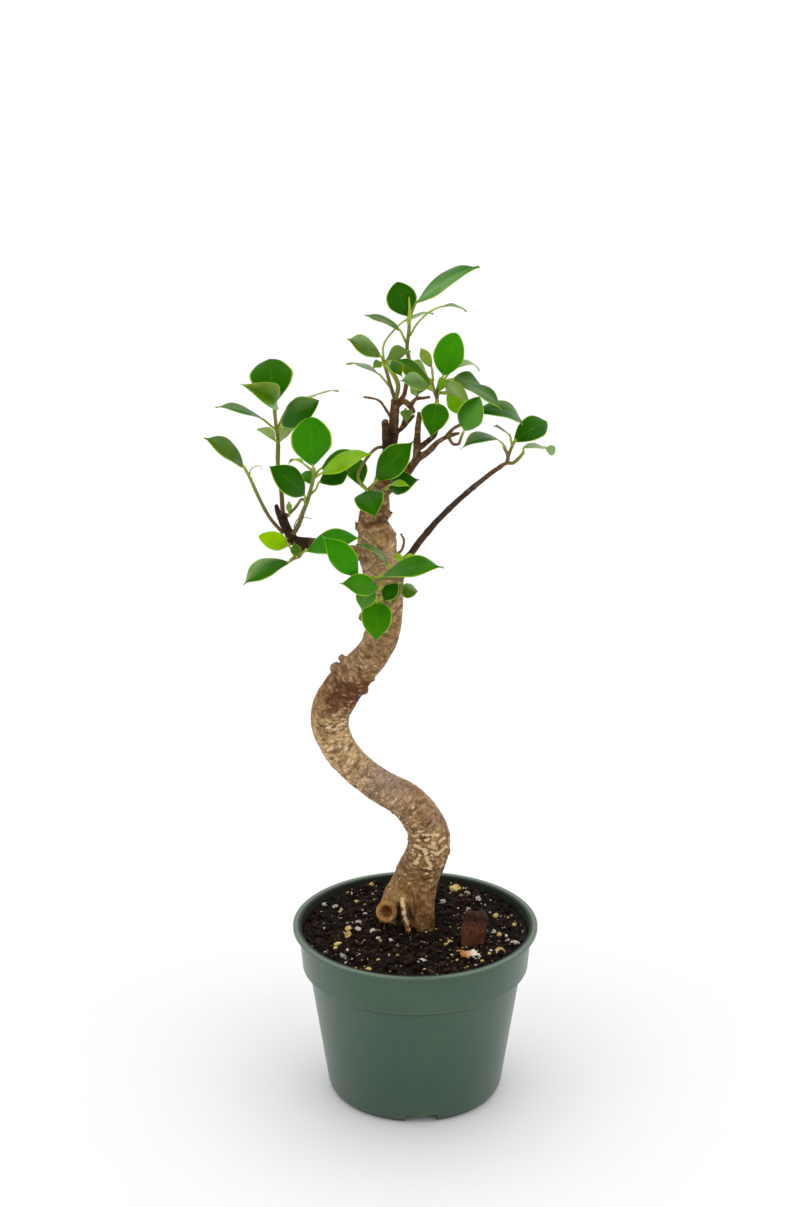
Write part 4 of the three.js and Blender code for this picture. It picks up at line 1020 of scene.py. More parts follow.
# Small marks on the side that faces the eye, each (reach in pixels, strength, places on its line)
frontMarks = {
    "pale": [
        (2.3, 0.95, (403, 899), (403.5, 906), (404, 912)), (1.9, 0.9, (404, 912), (405, 918), (408, 923)),
        (1.6, 0.6, (408, 923), (412, 935)), (2.2, 1.0, (335, 729), (338, 727), (342, 724)),
        (1.2, 0.8, (345, 722), (347, 721)), (1.5, 0.7, (328, 750), (332, 747)),
        (1.5, 0.8, (330, 754), (335, 755)), (1.2, 0.6, (339, 745), (341, 743)),
        (1.2, 0.7, (346, 771), (349, 769)), (1.3, 0.8, (356, 786), (357, 785)),
        (1.3, 0.8, (360, 790), (361, 789)), (1.2, 0.6, (392, 803), (396, 799)),
        (1.5, 0.8, (396, 812), (398, 813)), (1.2, 0.6, (386, 801), (389, 798)),
        (1.5, 0.9, (419, 831), (423, 831)), (1.3, 0.8, (415, 836), (418, 835)),
        (1.3, 1.0, (423, 835), (429, 835)), (1.2, 1.0, (431, 835), (435, 834.5)),
        (1.2, 0.7, (437, 835), (438, 835)), (1.2, 0.8, (441, 834), (444, 831)),
        (1.4, 0.8, (418, 840), (421, 841)), (1.5, 0.9, (425, 840), (428, 839)),
        (1.4, 0.8, (432, 843), (435, 844)), (1.4, 0.9, (439, 842), (444, 838)),
        (1.3, 0.8, (431, 848), (437, 848.5)), (1.3, 1.0, (432, 852), (437, 854), (442, 851), (446, 847)),
        (1.6, 1.0, (415, 845), (419, 848), (424, 849)), (1.6, 1.0, (424, 849), (426, 854), (427, 858)),
        (1.8, 1.0, (427, 859), (429, 863), (431, 866)), (2.0, 1.0, (419, 857), (416, 863)),
        (1.3, 0.8, (414, 867), (415, 868)), (1.2, 0.7, (441, 866), (443, 864)),
        (1.2, 0.6, (424, 868), (431, 869)), (1.2, 0.5, (396, 884), (401, 887)),
        (1.3, 0.5, (362, 546), (366, 544)), (1.4, 0.5, (390, 548), (393, 545)),
        (1.2, 0.5, (383, 563), (386, 566)), (1.2, 0.4, (379, 556), (381, 553)),
    ],
    # painted shade in the grooves beside the pale root, under the branch joint and in the creases round the
    # knobs of the neck
    "darkBarkAndShade": [
        (3.5, 1.0, (398.5, 918), (399, 926), (400, 934)), (1.6, 0.9, (409, 907), (411, 917)),
        (1.8, 0.9, (399, 904), (399, 914)), (1.2, 0.6, (391, 619), (397, 611), (402, 605)),
        (1.6, 0.7, (371, 524), (380, 521), (388, 523)), (3, 0.5, (357, 606), (359, 616)),
        (1.1, 0.5, (376, 536), (378, 532), (383, 531), (387, 534), (388, 540), (386, 546), (381, 548),
         (377, 545)),
        (1.1, 0.4, (389, 530), (393, 534), (392, 541)),
        (1.1, 0.4, (368, 533), (373, 540), (372, 549), (375, 556)),
    ],
    "honey": [
        (3.2, 0.6, (379, 527), (383, 527)), (2.4, 0.6, (390, 532), (390, 537)),
        (2.6, 0.6, (371, 529), (370, 536)), (4.0, 0.8, (381, 537), (382, 542)),
        (2.2, 0.5, (389, 547), (389, 552)), (2.2, 0.5, (383, 556), (380, 560)),
        (2.0, 0.4, (376, 566), (379, 570)), (2.2, 0.4, (391, 561), (389, 566)),
        (2.4, 0.4, (372, 543), (371, 549)),
    ],
}


def smoothLine(points, steps):
    # points along a smooth line through the given ones
    line = []
    padded = [points[0] * 2 - points[1], *points, points[-1] * 2 - points[-2]]
    for i in range(len(points) - 1):
        a, b, c, d = padded[i:i + 4]
        for step in range(steps):
            t = step / steps
            line.append(0.5 * (2 * b + (c - a) * t + (2 * a - 5 * b + 4 * c - d) * t * t
                               + (3 * b - a - 3 * c + d) * t ** 3))
    return [*line, points[-1]]


def branches(areThick):
    return [tapered([inCrown(p) for p in route], radii) for route, radii in branchRoutes
            if (radii[0] >= wood["thickFrom"]) == areThick]


def stumpEnd():
    # middle of the stump's cut face, and the way it looks
    route = [seen(p) for p in rootRoutes["cutStump"][0]]
    ahead = (route[-1] - route[-2]).normalized()
    toEye = (view["eye"] - route[-1]).normalized()
    out = ahead.lerp(toEye, stumpFace["toEye"]).normalized()
    return route[-1] + out * stumpFace["ahead"], out


def knobObject():
    work = bmesh.new()

    def ball(spot, radius, subdivisions):
        bmesh.ops.create_icosphere(
            work, subdivisions=subdivisions, radius=radius, matrix=Matrix.Translation(spot))

    for place, radius in knobs:
        ball(seen(place), radius * wood["knobGrowth"], 1)
    face, out = stumpEnd()
    side = out.cross(Vector((0, 0, 1))).normalized()
    for i in range(stumpFace["beads"]):
        turn = Matrix.Rotation(2 * math.pi * i / stumpFace["beads"], 3, out)
        ball(face + turn @ side * stumpFace["ring"], stumpFace["roll"], 2)
    return fromWork("knobs", work)


# Straightened places on the bark: across and along the limb that a point belongs to
def grainOf(places, limbs):
    samples = []
    for number, limb in enumerate(limbs):
        line = smoothLine([place for place, girth, ripe in limb], 8)
        side = Vector((0, 1, 0)).cross(line[1] - line[0]).normalized()
        travel = number * wood["limbGap"]
        for i, point in enumerate(line):
            ahead = (line[min(i + 1, len(line) - 1)] - line[max(i - 1, 0)]).normalized()
            side = (side - ahead * side.dot(ahead)).normalized()
            travel += (point - line[i - 1]).length if i else 0
            samples.append((point, ahead, side, travel))
    tree = kdtree.KDTree(len(samples))
    for i, sample in enumerate(samples):
        tree.insert(sample[0], i)
    tree.balance()
    grain, axes = [], []
    for place in places:
        middle, ahead, side, travel = samples[tree.find(place)[1]]
        off = Vector(place) - middle
        grain.append((off.dot(side), off.dot(ahead.cross(side)), travel + off.dot(ahead)))
        axes.append(ahead)
    return grain, axes


def patchStrength(places, name, least=0.0):
    strength = np.full(len(places), least)
    for px, py, depth, reach, amount in barkPatches.get(name, ()):
        centre = np.array((inCrown if py < view["crownBelow"] else seen)((px, py, depth)))
        strength += amount * np.exp(-((places - centre) ** 2).sum(1) / reach ** 2)
    return np.clip(strength, 0, 1)


def markStrength(piece, places, name):
    # how close each point of the bark that faces the eye lies to the lines of the marks, in the picture
    normals = np.zeros(len(places) * 3, np.float32)
    piece.data.vertex_normals.foreach_get("vector", normals)
    off = places - np.array(view["eye"])
    facing = -(normals.reshape(-1, 3) * off).sum(1) / np.linalg.norm(off, axis=1) > 0.1
    cos, sin = math.cos(view["pitch"]), math.sin(view["pitch"])
    ahead = off[:, 1] * cos - off[:, 2] * sin
    lift = off[:, 1] * sin + off[:, 2] * cos
    picture = np.stack((off[:, 0] / ahead, -lift / ahead), axis=1) * view["pixelsPerUnit"] + view["centre"]
    strength = np.zeros(len(places))
    for reach, amount, *line in frontMarks.get(name, ()):
        for a, b in zip(np.array(line[:-1]), np.array(line[1:])):
            share = np.clip((picture - a) @ (b - a) / ((b - a) @ (b - a)), 0, 1)
            apart = ((picture - a - np.outer(share, b - a)) ** 2).sum(1)
            strength = np.maximum(strength, amount * np.exp(-apart / (reach * 1.25) ** 2) * facing)
    return strength


def hollowStump(places):
    # the cut face is dished inside its ring; gives how far each point lies in the heart and on the ring
    end, out = (np.array(v) for v in stumpEnd())
    off = places - end
    height = off @ out
    spread = np.linalg.norm(off - np.outer(height, out), axis=1)
    near = (height > -5) & (spread < stumpFace["reach"])
    dish = stumpFace["dish"] * np.exp(-(spread / stumpFace["dishReach"]) ** 2)
    places[near] -= np.outer(dish[near] * np.clip((height[near] + 5) / 4, 0, 1), out)
    face = np.where(near, np.clip((height + 7) / 5, 0, 1), 0.0)
    middle, width = stumpFace["ringColour"]
    heart = face * np.exp(-(spread / stumpFace["dishReach"]) ** 4)
    return heart, face * np.exp(-((spread - middle) / width) ** 2)


def fusedWood(limbs):
    whole = oneObject("figTrunk", [tubes("wood", limbs, 1.6, 32), knobObject()])
    remesh = whole.modifiers.new("fuse", "REMESH")
    remesh.mode = "VOXEL"
    remesh.voxel_size = wood["voxel"]
    soften = whole.modifiers.new("soften", "SMOOTH")
    soften.factor = 0.5
    soften.iterations = 3
    return settled(whole)


# Bark: clouds of swelling, wrinkles across the limb, and raised pale spots lying across it
def buildBarkTree():
    sheet, given, out = geometryTree("barkRelief", [
        ("Relief", "Float", 0.9), ("Wrinkles", "Float", 0.5), ("Spots per area", "Float", 0.2),
        ("Spot length", "Float", 2.4), ("Seed", "Int", 1)])
    grain = sheet.attribute("grain", "FLOAT_VECTOR")
    axis = sheet.attribute("limbAxis", "FLOAT_VECTOR")
    spots = sheet.attribute("spots")
    girth = sheet.smooth(sheet.vectors("LENGTH", grain * (1.0, 1.0, 0.0)), 2.0, 8.0)
    broad = sheet.noise(grain * (0.8, 0.8, 0.6), 0.14, 2.0, 0.5) - 0.5
    wrinkles = sheet.noise(grain * (0.35, 0.35, 1.3), 0.55, 3.0, 0.6, 0.6) - 0.5
    warts = sheet.noise(grain * (0.7, 0.7, 1.1), 0.5, 2.0, 0.5) - 0.5
    push = broad * given["Relief"] * 1.6 + wrinkles * given["Wrinkles"] + warts * (0.5 + spots * 1.4)
    normal = sheet.first("GeometryNodeInputNormal")
    bark = sheet.moved(given["Geometry"], "Offset", normal * (push * (0.25 + girth * 0.75)))
    thrown = sheet.add("GeometryNodeDistributePointsOnFaces", {
        "Mesh": bark, "Density": (spots ** 2.0) * girth * given["Spots per area"],
        "Seed": given["Seed"]}).outputs
    tilted = sheet.vectors("CROSS_PRODUCT", thrown["Normal"], axis) + axis * sheet.anything(-0.45, 0.45, 11)
    turn = sheet.first("FunctionNodeAxesToRotation", {0: thrown["Normal"], 1: tilted},
                       primary_axis="Z", secondary_axis="X")
    length = given["Spot length"] * sheet.anything(0.3, 1.0, 12) * sheet.anything(0.5, 1.35, 13)
    width = length * sheet.anything(0.35, 0.75, 14)
    size = sheet.first("ShaderNodeCombineXYZ", {0: length, 1: width, 2: width * 0.4})
    ball = sheet.first("GeometryNodeMeshIcoSphere", {"Radius": 0.5, "Subdivisions": 2})
    creamy = sheet.stored(thrown["Points"], "cream", sheet.anything(0.1, 1.0, 15))
    flecks = sheet.planted(creamy, ball, Rotation=turn, Scale=size)
    both = sheet.add("GeometryNodeJoinGeometry")
    sheet.feed(both.inputs[0], sheet.moved(flecks, "Offset", sheet.wander(sheet.position(), 0.8, 0.5) * 1.1))
    sheet.feed(both.inputs[0], bark)
    return sheet.handOut(out, sheet.shaded(both.outputs[0]), given["Material"])


def buildBark():
    made, sheet, surface = newMaterial("figBark", shine=0.2)
    grain = sheet.painted("grain", "Vector")
    clouds, fine, specks = sheet.mottled(sheet.place(), 0.09, 0.9, 0.8)
    tan, spots, grey, russet, cream, honey, darkBarkAndShade, pale, heart = (sheet.painted(name) for name in (
        "tan", "spots", "grey", "russet", "cream", "honey", "darkBarkAndShade", "pale", "heart"))
    rings = sheet.noise(grain * (0.3, 0.3, 1.6), 0.7, 4.0, 0.62, 0.5)
    stains = sheet.noise(grain * (0.7, 0.7, 1.1), 0.2, 3.0, 0.6)
    blots = sheet.noise(grain * (0.7, 0.7, 1.1), 0.42, 3.0, 0.6)
    seams = sheet.noise(grain * (0.6, 0.6, 1.2), 0.5, 2.0, 0.5)
    flecks = sheet.noise(grain * (0.75, 0.75, 1.15), 0.35, 2.0, 0.55)
    pebbles = sheet.first("ShaderNodeTexVoronoi", {
        "Vector": grain * (0.8, 0.8, 1.2) + sheet.wander(grain, 0.5, 0.6) * 3.0, "Scale": 0.34})
    crack = sheet.smooth(abs(seams - 0.5), 0.05, 0.0)
    gaps = sheet.smooth(pebbles, 0.42, 0.85)
    reddish = sheet.smooth(russet + (stains - 0.5) * 1.6 + (blots - 0.5) * 1.2, 0.15, 1.0)
    creamy = sheet.smooth(pebbles, 0.45, 0.2) * sheet.smooth(flecks, 0.44, 0.6) * (0.15 + spots * 0.6)
    marked = sheet.smooth(pale + (fine - 0.5) * 0.8 + (seams - 0.5) * 1.6 - gaps * 0.4, 0.3, 0.6)
    colour = sheet.coated(
        wood["brown"],
        (clouds * 0.45 + tan * 0.8, wood["tan"]),
        (sheet.smooth(stains, 0.5, 0.64) * 0.6, wood["stain"]),
        (sheet.smooth(blots, 0.52, 0.64) * 0.4, wood["groove"]),
        (grey * 0.8, wood["grey"]),
        (grey * sheet.smooth(fine, 0.5, 0.4) * 0.6, wood["pepper"]),
        (reddish * 0.85, wood["russet"]),
        (sheet.smooth(rings, 0.55, 0.4) * 0.3, wood["groove"]),
        (crack * 0.3, wood["groove"]),
        (gaps * (0.25 + spots * 0.4 + russet * 0.35), wood["groove"]),
        (creamy, wood["cream"]),
        (cream * (0.55 + fine * 0.4), wood["cream"]),
        (specks * 0.35, wood["groove"]),
        (honey * (0.5 + fine * 0.4), wood["honey"]),
        # dark bark, and painted shade in the grooves and creases
        (darkBarkAndShade * 0.95, wood["darkBarkAndShade"]),
        (marked, wood["pale"]),
        (heart, wood["heart"]))
    relief = rings * 0.8 + fine * 0.9 - crack * 0.4 - gaps * 0.6 + creamy * 0.4
    sheet.finish(surface, colour, 0.6 + fine * 0.3, relief, 0.9, 0.001)
    return made


def buildTrunk():
    limbs = [[(seen(place), radius, 0.0) for place, radius in trunkStations]]
    limbs += [tapered([seen(p) for p in route], radii) for route, radii in rootRoutes.values()]
    limbs += branches(areThick=True)
    piece = fusedWood(limbs)
    places = coordinates(piece)
    heart, honey = hollowStump(places)
    piece.data.vertices.foreach_set("co", places.ravel())
    grain, axes = grainOf(places, limbs)
    paint(piece, "grain", grain)
    paint(piece, "limbAxis", axes)
    paint(piece, "heart", heart * 0.85)
    for name in (*barkPatches, "pale"):
        strength = patchStrength(places, name, 0.05 if name == "spots" else 0.0)
        strength += markStrength(piece, places, name) + (honey if name == "honey" else 0)
        paint(piece, name, np.clip(strength, 0, 1))
    piece = grown(piece, buildBarkTree(), {
        "Relief": wood["relief"], "Wrinkles": wood["wrinkles"], "Spots per area": wood["spotsPerArea"],
        "Spot length": wood["spotLength"], "Seed": wood["seed"], "Material": barkMaterial}, "figTrunk")
    thin = branches(areThick=False)
    twigs = tubes("twigs", thin, 1.0, 12, barkMaterial)
    twigPlaces = coordinates(twigs)
    paint(twigs, "grain", grainOf(twigPlaces, thin)[0])
    for name in ("darkBarkAndShade", "russet"):
        paint(twigs, name, patchStrength(twigPlaces, name, 0.06))
    return oneObject("figTrunk", [piece, twigs])


barkMaterial = buildBark()
finished(buildTrunk(), "bark", "trunk")
print("trunk made")


# Leaves and shoots

def stem(route, radii, ripe=(0.15, 0.75)):
    return {"route": route, "radii": radii, "ripe": ripe}


def leaf(base, tip, width, tilt, start, arch=1.5, fold=8, widest=0.52, blunt=0.0, stalk=0.75,
         tone="deep", far=None):
    # start is the route of the stalk, tone the colour beside it, far that of the tip and the higher edge; the
    # blend from tone to far is painted sheen and shade
    return {"base": base, "tip": tip, "width": width, "tilt": tilt, "start": start, "arch": arch,
            "fold": fold, "widest": widest, "blunt": blunt, "stalk": stalk, "tone": tone, "far": far or tone}


leafLook = {
    "thickness": 0.5,
    "bodyEnd": 0.96,
    "stalkShare": 0.85,
    "rows": 29,
    "columns": 15,
    "veinPairs": 11.0,
    "seed": 8,
    # sage, mist, pale and ash are greens washed with painted sheen
    "tones": {
        "dark": (30, 88, 0), "deep": (42, 102, 0), "mid": (54, 120, 4), "bright": (50, 134, 0),
        "vivid": (60, 148, 0), "fresh": (104, 158, 0), "spring": (132, 178, 0), "lime": (148, 194, 0),
        "moss": (76, 106, 10), "olive": (98, 130, 28), "fern": (84, 138, 50), "sageSheen": (92, 122, 60),
        "mistSheen": (134, 162, 104), "straw": (150, 172, 70), "pale": (152, 174, 104), "ash": (160, 172, 136),
    },
    "margin": srgb(166, 200, 54),
    "rib": srgb(150, 190, 60),
    "under": srgb(140, 170, 76),
    "underRib": srgb(176, 198, 118),
    "speck": srgb(170, 190, 120),
    "gloss": (0.3, 0.85, 0.08, 1.0),      # straight on; at a glance the sheen stays white
}

shoots = {
    "shoot_left_tip": [
        stem([(283, 533, -7), (270, 518, -10), (260, 500, -14), (250, 478, -18)], (1.1, 0.9)),
        stem([(250, 478, -18), (250, 471, -19), (254, 467, -19), (260, 466, -18), (262, 470, -18)],
             (0.3, 0.16)),
        leaf((244, 467, -20), (205, 437, -26), 16, 50, [(251, 480, -18)], arch=3, stalk=1, tone="moss",
             far="sageSheen"),
    ],
    "shoot_left_tall": [
        stem([(283, 517, -5), (281, 487, -1), (278, 465, 3), (278, 440, 6), (276, 425, 8), (274, 405, 9)],
             (1.4, 1)),
        leaf((275, 402, 11), (269, 359, 24), 26, 0, [(275, 408, 9)], arch=2, widest=0.56, blunt=1),
        leaf((276, 403, 7), (242, 384, -14), 26, 20, [(276, 410, 8.5)], arch=0, fold=56, widest=0.42,
             tone="fresh", far="straw"),
        leaf((264, 420, 6), (216, 406, 0), 12, 68, [(277, 431, 7)], arch=2.5, far="sageSheen"),
        leaf((281, 426, 5), (318, 400, -3), 17, 22, [(278, 434, 7)], arch=2, blunt=0.6, tone="dark",
             far="sageSheen"),
        leaf((275, 440, 4), (257, 428, -6), 9, 128, [(278, 443, 6)], arch=2, tone="pale"),
        leaf((279, 441, 7), (294, 427, 14), 10, 128, [(278, 444, 6)], arch=2, tone="pale"),
        leaf((298, 401, 14), (338, 389, 20), 13, 86, [(277, 430, 7), (286, 411, 12)], arch=0.5, tone="pale"),
    ],
    "shoot_left_front": [
        stem([(292, 535, -8), (298, 526, -10), (303, 512, -14), (308, 499, -18), (313, 480, -23),
              (314, 469, -26)], (1.5, 1)),
        stem([(286, 517, -6), (295, 508, -12), (302, 499, -19), (306, 504, -17)], (0.9, 0.8)),
        stem([(294, 527, -9), (297, 520, -12), (303, 517, -13), (312, 519, -13)], (0.35, 0.2)),
        leaf((313, 467, -27), (310, 418, -31), 24, 0, [(314, 476, -24)], arch=1, widest=0.57, blunt=1,
             tone="bright"),
        leaf((305, 496, -22), (270, 466, -30), 17, 20, [(305, 504, -17)], arch=3, blunt=0.4, tone="dark"),
        leaf((320, 474, -26), (371, 452, -32), 16, 52, [(313, 479, -23)], tone="spring"),
        leaf((320, 469, -22), (364, 452, -20), 15, 38, [(313, 478, -23)], arch=0.5),
        leaf((319, 482, -21), (350, 471, -18), 13, 18, [(310, 495, -19), (316, 489, -20)], tone="dark"),
        leaf((311, 484, -17), (305, 470, -9), 8, 0, [(311, 489, -21)], tone="mid"),
        leaf((304, 464, -26), (288, 463, -20), 6, 84, [(314, 472, -25)], arch=2.6, stalk=0.7, tone="lime"),
        leaf((289, 513, -10), (289, 501, -12), 3.6, 0, [(289, 516, -8)], arch=0.4, tone="straw"),
    ],
    "shoot_left_low": [
        stem([(303, 549, -11), (299, 556, -14), (294, 558, -16), (290, 561, -16)], (1.4, 1)),
        leaf((289, 545.5, -17), (259, 536, -22), 11, 0, [(295, 557, -16)], widest=0.5, blunt=0.8,
             tone="lime"),
        leaf((289, 562, -16), (243, 584, -24), 16, 42, [(293, 559, -16)], arch=4.5, far="mistSheen"),
        leaf((297, 556, -18), (294, 543, -22), 6.4, 0, [(297, 558, -15)], arch=0.6, tone="moss", far="deep"),
        leaf((305, 551, -16), (361, 537, -22), 18, 42, [(299, 556, -14)], arch=2.5, tone="bright"),
    ],
    "shoot_front": [
        stem([(384, 606, 0), (392, 603, -11), (399, 592, -16), (402, 579, -18), (402, 560, -19)], (1.5, 1)),
        stem([(403, 578, -18), (391, 578, -22), (378, 578, -24), (366, 578, -26)], (1.2, 1)),
        leaf((377, 601, -19), (376, 643, -23), 18.5, 0, [(392, 603, -12), (384, 598, -17)], widest=0.36,
             tone="mid"),
        leaf((398, 583, -20), (383, 602, -24), 10, 18, [(401, 582, -18)], tone="dark"),
        leaf((401, 591, -16), (419, 591, -12), 9, 6, [(399, 594, -15)], widest=0.3, tone="moss", far="mistSheen"),
        leaf((381, 576, -26), (443, 566, -34), 18.5, 52, [(374, 578, -24.7)], arch=3, tone="mid"),
        leaf((401, 562, -19), (397, 553, -24), 4.6, 0, [(402, 566, -19)], arch=0.6, tone="lime"),
        leaf((403, 561, -18), (416, 555, -14), 4.4, 20, [(402, 566, -19)], arch=1, tone="lime"),
        leaf((380, 588, -26), (341, 583, -37), 13.5, 16, [(382, 579, -23)], tone="mid"),
        leaf((373, 581, -23), (361, 611, -27), 12.5, 14, [(374, 578, -25)], tone="fern"),
        leaf((359, 577, -28), (323, 536, -35), 16, 8, [(368, 578, -26)], arch=2, fold=16, tone="bright"),
        leaf((389, 566, -17), (357, 543, -14), 13, 72, [(402, 572, -18)], arch=3, tone="sageSheen"),
    ],
    "shoot_neck": [
        stem([(384, 447, 0), (377, 448, -4), (370, 454, -6), (362, 466, -8), (358, 478, -11),
              (365, 488, -12)], (0.9, 1)),
        leaf((367, 490, -13), (375, 517, -27), 18, 0, [(363, 486, -12.5)], widest=0.38, stalk=1.1),
        leaf((361, 486, -12), (353, 456, -1), 13, 0, [(363, 487, -12.5)]),
        leaf((376, 481, -15), (413, 441, -21), 17.5, 10, [(368, 489, -12)], arch=2.5),
    ],
    "shoot_neck_right": [
        stem([(380, 491, 2), (384, 489, -5), (387, 488, -9)], (1.3, 1)),
        leaf((388, 489, -10), (418, 479, -17), 14.5, 20, [(385, 489, -7)], arch=2, fold=14, tone="dark"),
        leaf((390, 485, -13), (410, 486, -19), 5, 40, [(386, 489, -8)], arch=2.2, tone="lime"),
    ],
    "shoot_top": [
        stem([(405, 391, 2.5), (408, 375, 5), (409, 360, 6), (407, 348, 6), (409, 330, 5), (409, 318, 4)],
             (1.3, 1)),
        stem([(409, 322, 2), (409.5, 310, -3), (409, 297, -6)], (1.3, 0.3), (0.9, 1.0)),
        leaf((416, 303, 1), (478, 265, -10), 19, 60, [(410, 318, 4)], arch=2.5, tone="fern", far="deep"),
        leaf((408, 317, 1), (396, 283, -4), 18, 0, [(409, 322, 4)], widest=0.58, blunt=0.9, tone="dark"),
        leaf((400, 330, 8), (365, 314, 14), 11, 66, [(407, 345, 6)], tone="moss", far="dark"),
        leaf((441, 306.5, 12), (467, 310, 16), 9, 80, [(410, 336, 5), (417, 324, 7), (428, 313, 10)],
             stalk=0.65, tone="olive"),
    ],
    "shoot_upper_left": [
        stem([(395, 400, -1), (390, 384, -3), (387, 373, -4), (383, 361, -6)], (1.2, 0.9)),
        stem([(396, 399, -1), (398, 385, -6), (392, 372, -7), (385, 362, -7)], (1.3, 1.4), (0.4, 1.0)),
        leaf((381, 356, -8), (348, 338, -14), 15, 46, [(384, 363, -6)], arch=1, tone="moss", far="mistSheen"),
        leaf((380, 375, 2), (347, 362, 12), 12, 80, [(391, 388, -2.5)], tone="sageSheen"),
        leaf((381, 362, -9), (373, 368, -14), 5.5, 10, [(385, 364, -7)], tone="olive"),
        leaf((385, 361, -4), (410, 350, -2), 15, 122, [(384, 364, -6)], tone="dark"),
        leaf((391, 361, -12), (402, 376, -21), 8, 16, [(385, 363, -7)], tone="dark", far="moss"),
        leaf((404, 321, 16), (433, 312, 20), 10, 78,
             [(384, 360, -6), (383, 349, 1), (386, 340, 6), (395, 329, 11)], arch=1, stalk=0.65, tone="olive",
             far="mistSheen"),
    ],
    "shoot_crown": [
        stem([(437, 407, -3), (437, 397, -2), (438, 388, 0), (441, 378, -1)], (1.1, 1)),
        stem([(437, 398, -2), (434, 390, -3), (432, 381, -3)], (1, 0.8)),
        stem([(438, 392, -1), (442, 384, 1), (444, 379, 2)], (0.9, 0.8)),
        leaf((443, 376, -2), (455, 333, -8), 18, 0, [(440, 383, -0.5)], arch=1, blunt=1, tone="vivid"),
        leaf((453, 368, 6), (480, 369, 12), 11, 74, [(443, 381, 2)], arch=3.5, tone="mistSheen"),
        leaf((452, 379, 8), (483, 386, 16), 13, 42, [(443, 381, 2)], arch=2, tone="sageSheen", far="dark"),
        leaf((445, 380, -4), (473, 408, -14), 14, 140, [(442, 384, 1)], arch=-1.5, tone="ash", far="moss"),
        leaf((447, 394, -8), (463, 416, -16), 8.5, 4, [(438, 393, -1)], arch=1, tone="fresh"),
        leaf((447, 392, -3), (469, 402, 2), 9, 66, [(438, 393, -1)], arch=1, tone="mistSheen"),
        leaf((457, 383, 9), (503, 408, 3), 15, 60, [(443, 382, 1.5), (448, 381, 5)], arch=3, tone="sageSheen",
             far="dark"),
        leaf((437, 403, -13), (431, 438, -24), 16.5, 0, [(437, 399, -2.5)], widest=0.36),
        leaf((432, 387, -7), (396, 358, -12), 14, 44, [(434, 391, -3)], arch=0.5, tone="moss", far="dark"),
        leaf((430, 387, -12), (400, 380, -18), 13, 44, [(434, 391, -3)], arch=2, tone="sageSheen", far="mistSheen"),
        leaf((427, 388, 3), (411, 391, 14), 8, 24, [(434, 391, -3)], arch=1, tone="dark"),
        leaf((430, 379, 0), (412, 361, 10), 13, 128, [(433, 385, -3)], arch=-1, tone="mistSheen"),
        leaf((440, 391, -5), (442, 377, -8), 4.5, 10, [(439, 394, -4)], tone="fresh"),
        leaf((432, 368, 3), (420, 347, 6), 6.5, 0, [(433, 381, -3)], arch=0.8, tone="straw"),
    ],
    "shoot_right": [
        stem([(459, 444, -16), (461, 438, -17), (463, 433, -18)], (0.9, 0.8)),
        leaf((464, 431, -18), (479, 397, -25), 15.5, 4, [(462, 436, -17.5)], fold=14, blunt=0.8, tone="fern",
             far="dark"),
    ],
    "shoot_right_back": [
        stem([(459, 425.5, -11), (465, 419, -2), (470, 412, 6)], (0.9, 0.8)),
        leaf((476, 411, 9), (524, 423, 18), 16.5, 52, [(469, 413, 5)], arch=6, tone="dark", far="sageSheen"),
    ],
    "shoot_far_right": [
        stem([(501, 466, 21.3), (507, 463, 22), (513, 463, 23), (519, 458, 24), (524, 452, 24.5)],
             (1.2, 0.9)),
        stem([(507, 463, 22), (508, 456, 22), (505, 449, 21), (504, 446, 20.5)], (1.2, 0.9)),
        stem([(508, 457, 22), (511, 449, 22), (514, 442, 22.5)], (1, 0.9)),
        leaf((503, 444, 20), (461, 448, 6), 13, 62, [(506, 452, 21.5)], arch=6.5, tone="dark", far="sageSheen"),
        leaf((514, 441, 23), (547, 421, 35), 16, 14, [(512, 446, 22)], arch=2.5, fold=12, blunt=0.8,
             tone="dark", far="deep"),
        leaf((510, 435, 20), (494, 425, 14), 7, 80, [(512, 446, 22)], arch=0.5, tone="moss"),
        leaf((524, 447, 25), (548, 448, 31), 8, 68, [(523, 453, 24.5)], arch=1, widest=0.4, tone="ash"),
        leaf((546, 447.5, 30.5), (556, 453, 33), 6.5, 20, [(539, 447, 29)], arch=0.5, stalk=0.7, tone="mistSheen"),
    ],
    "shoot_centre": [
        stem([(405, 415, -4), (405, 410, -6), (406, 409, -7)], (0.8, 0.7)),
        leaf((406, 410, -8), (407, 423, -12), 7, 0, [(405, 411, -6)], widest=0.26, tone="sageSheen", far="olive"),
    ],
    "shoot_centre_bud": [
        stem([(417, 399, 2), (417, 394, 0), (416, 392, -1)], (0.8, 0.7)),
        leaf((416, 393, -1), (410, 387, -3), 4.6, 0, [(417, 395, 0)], tone="pale"),
    ],
}


def bladeFrame(each):
    start = inCrown(each["base"])
    axis = inCrown(each["tip"]) - start
    length = axis.length
    axis = axis / length
    toEye = view["eye"] - start
    toEye = (toEye - axis * toEye.dot(axis)).normalized()
    across = axis.cross(toEye)
    if across.z + 0.3 * across.x < 0:
        across = -across
    tilt = math.radians(each["tilt"])
    upper = toEye * math.cos(tilt) + across * math.sin(tilt)
    return start, axis, length, upper, axis.cross(upper)


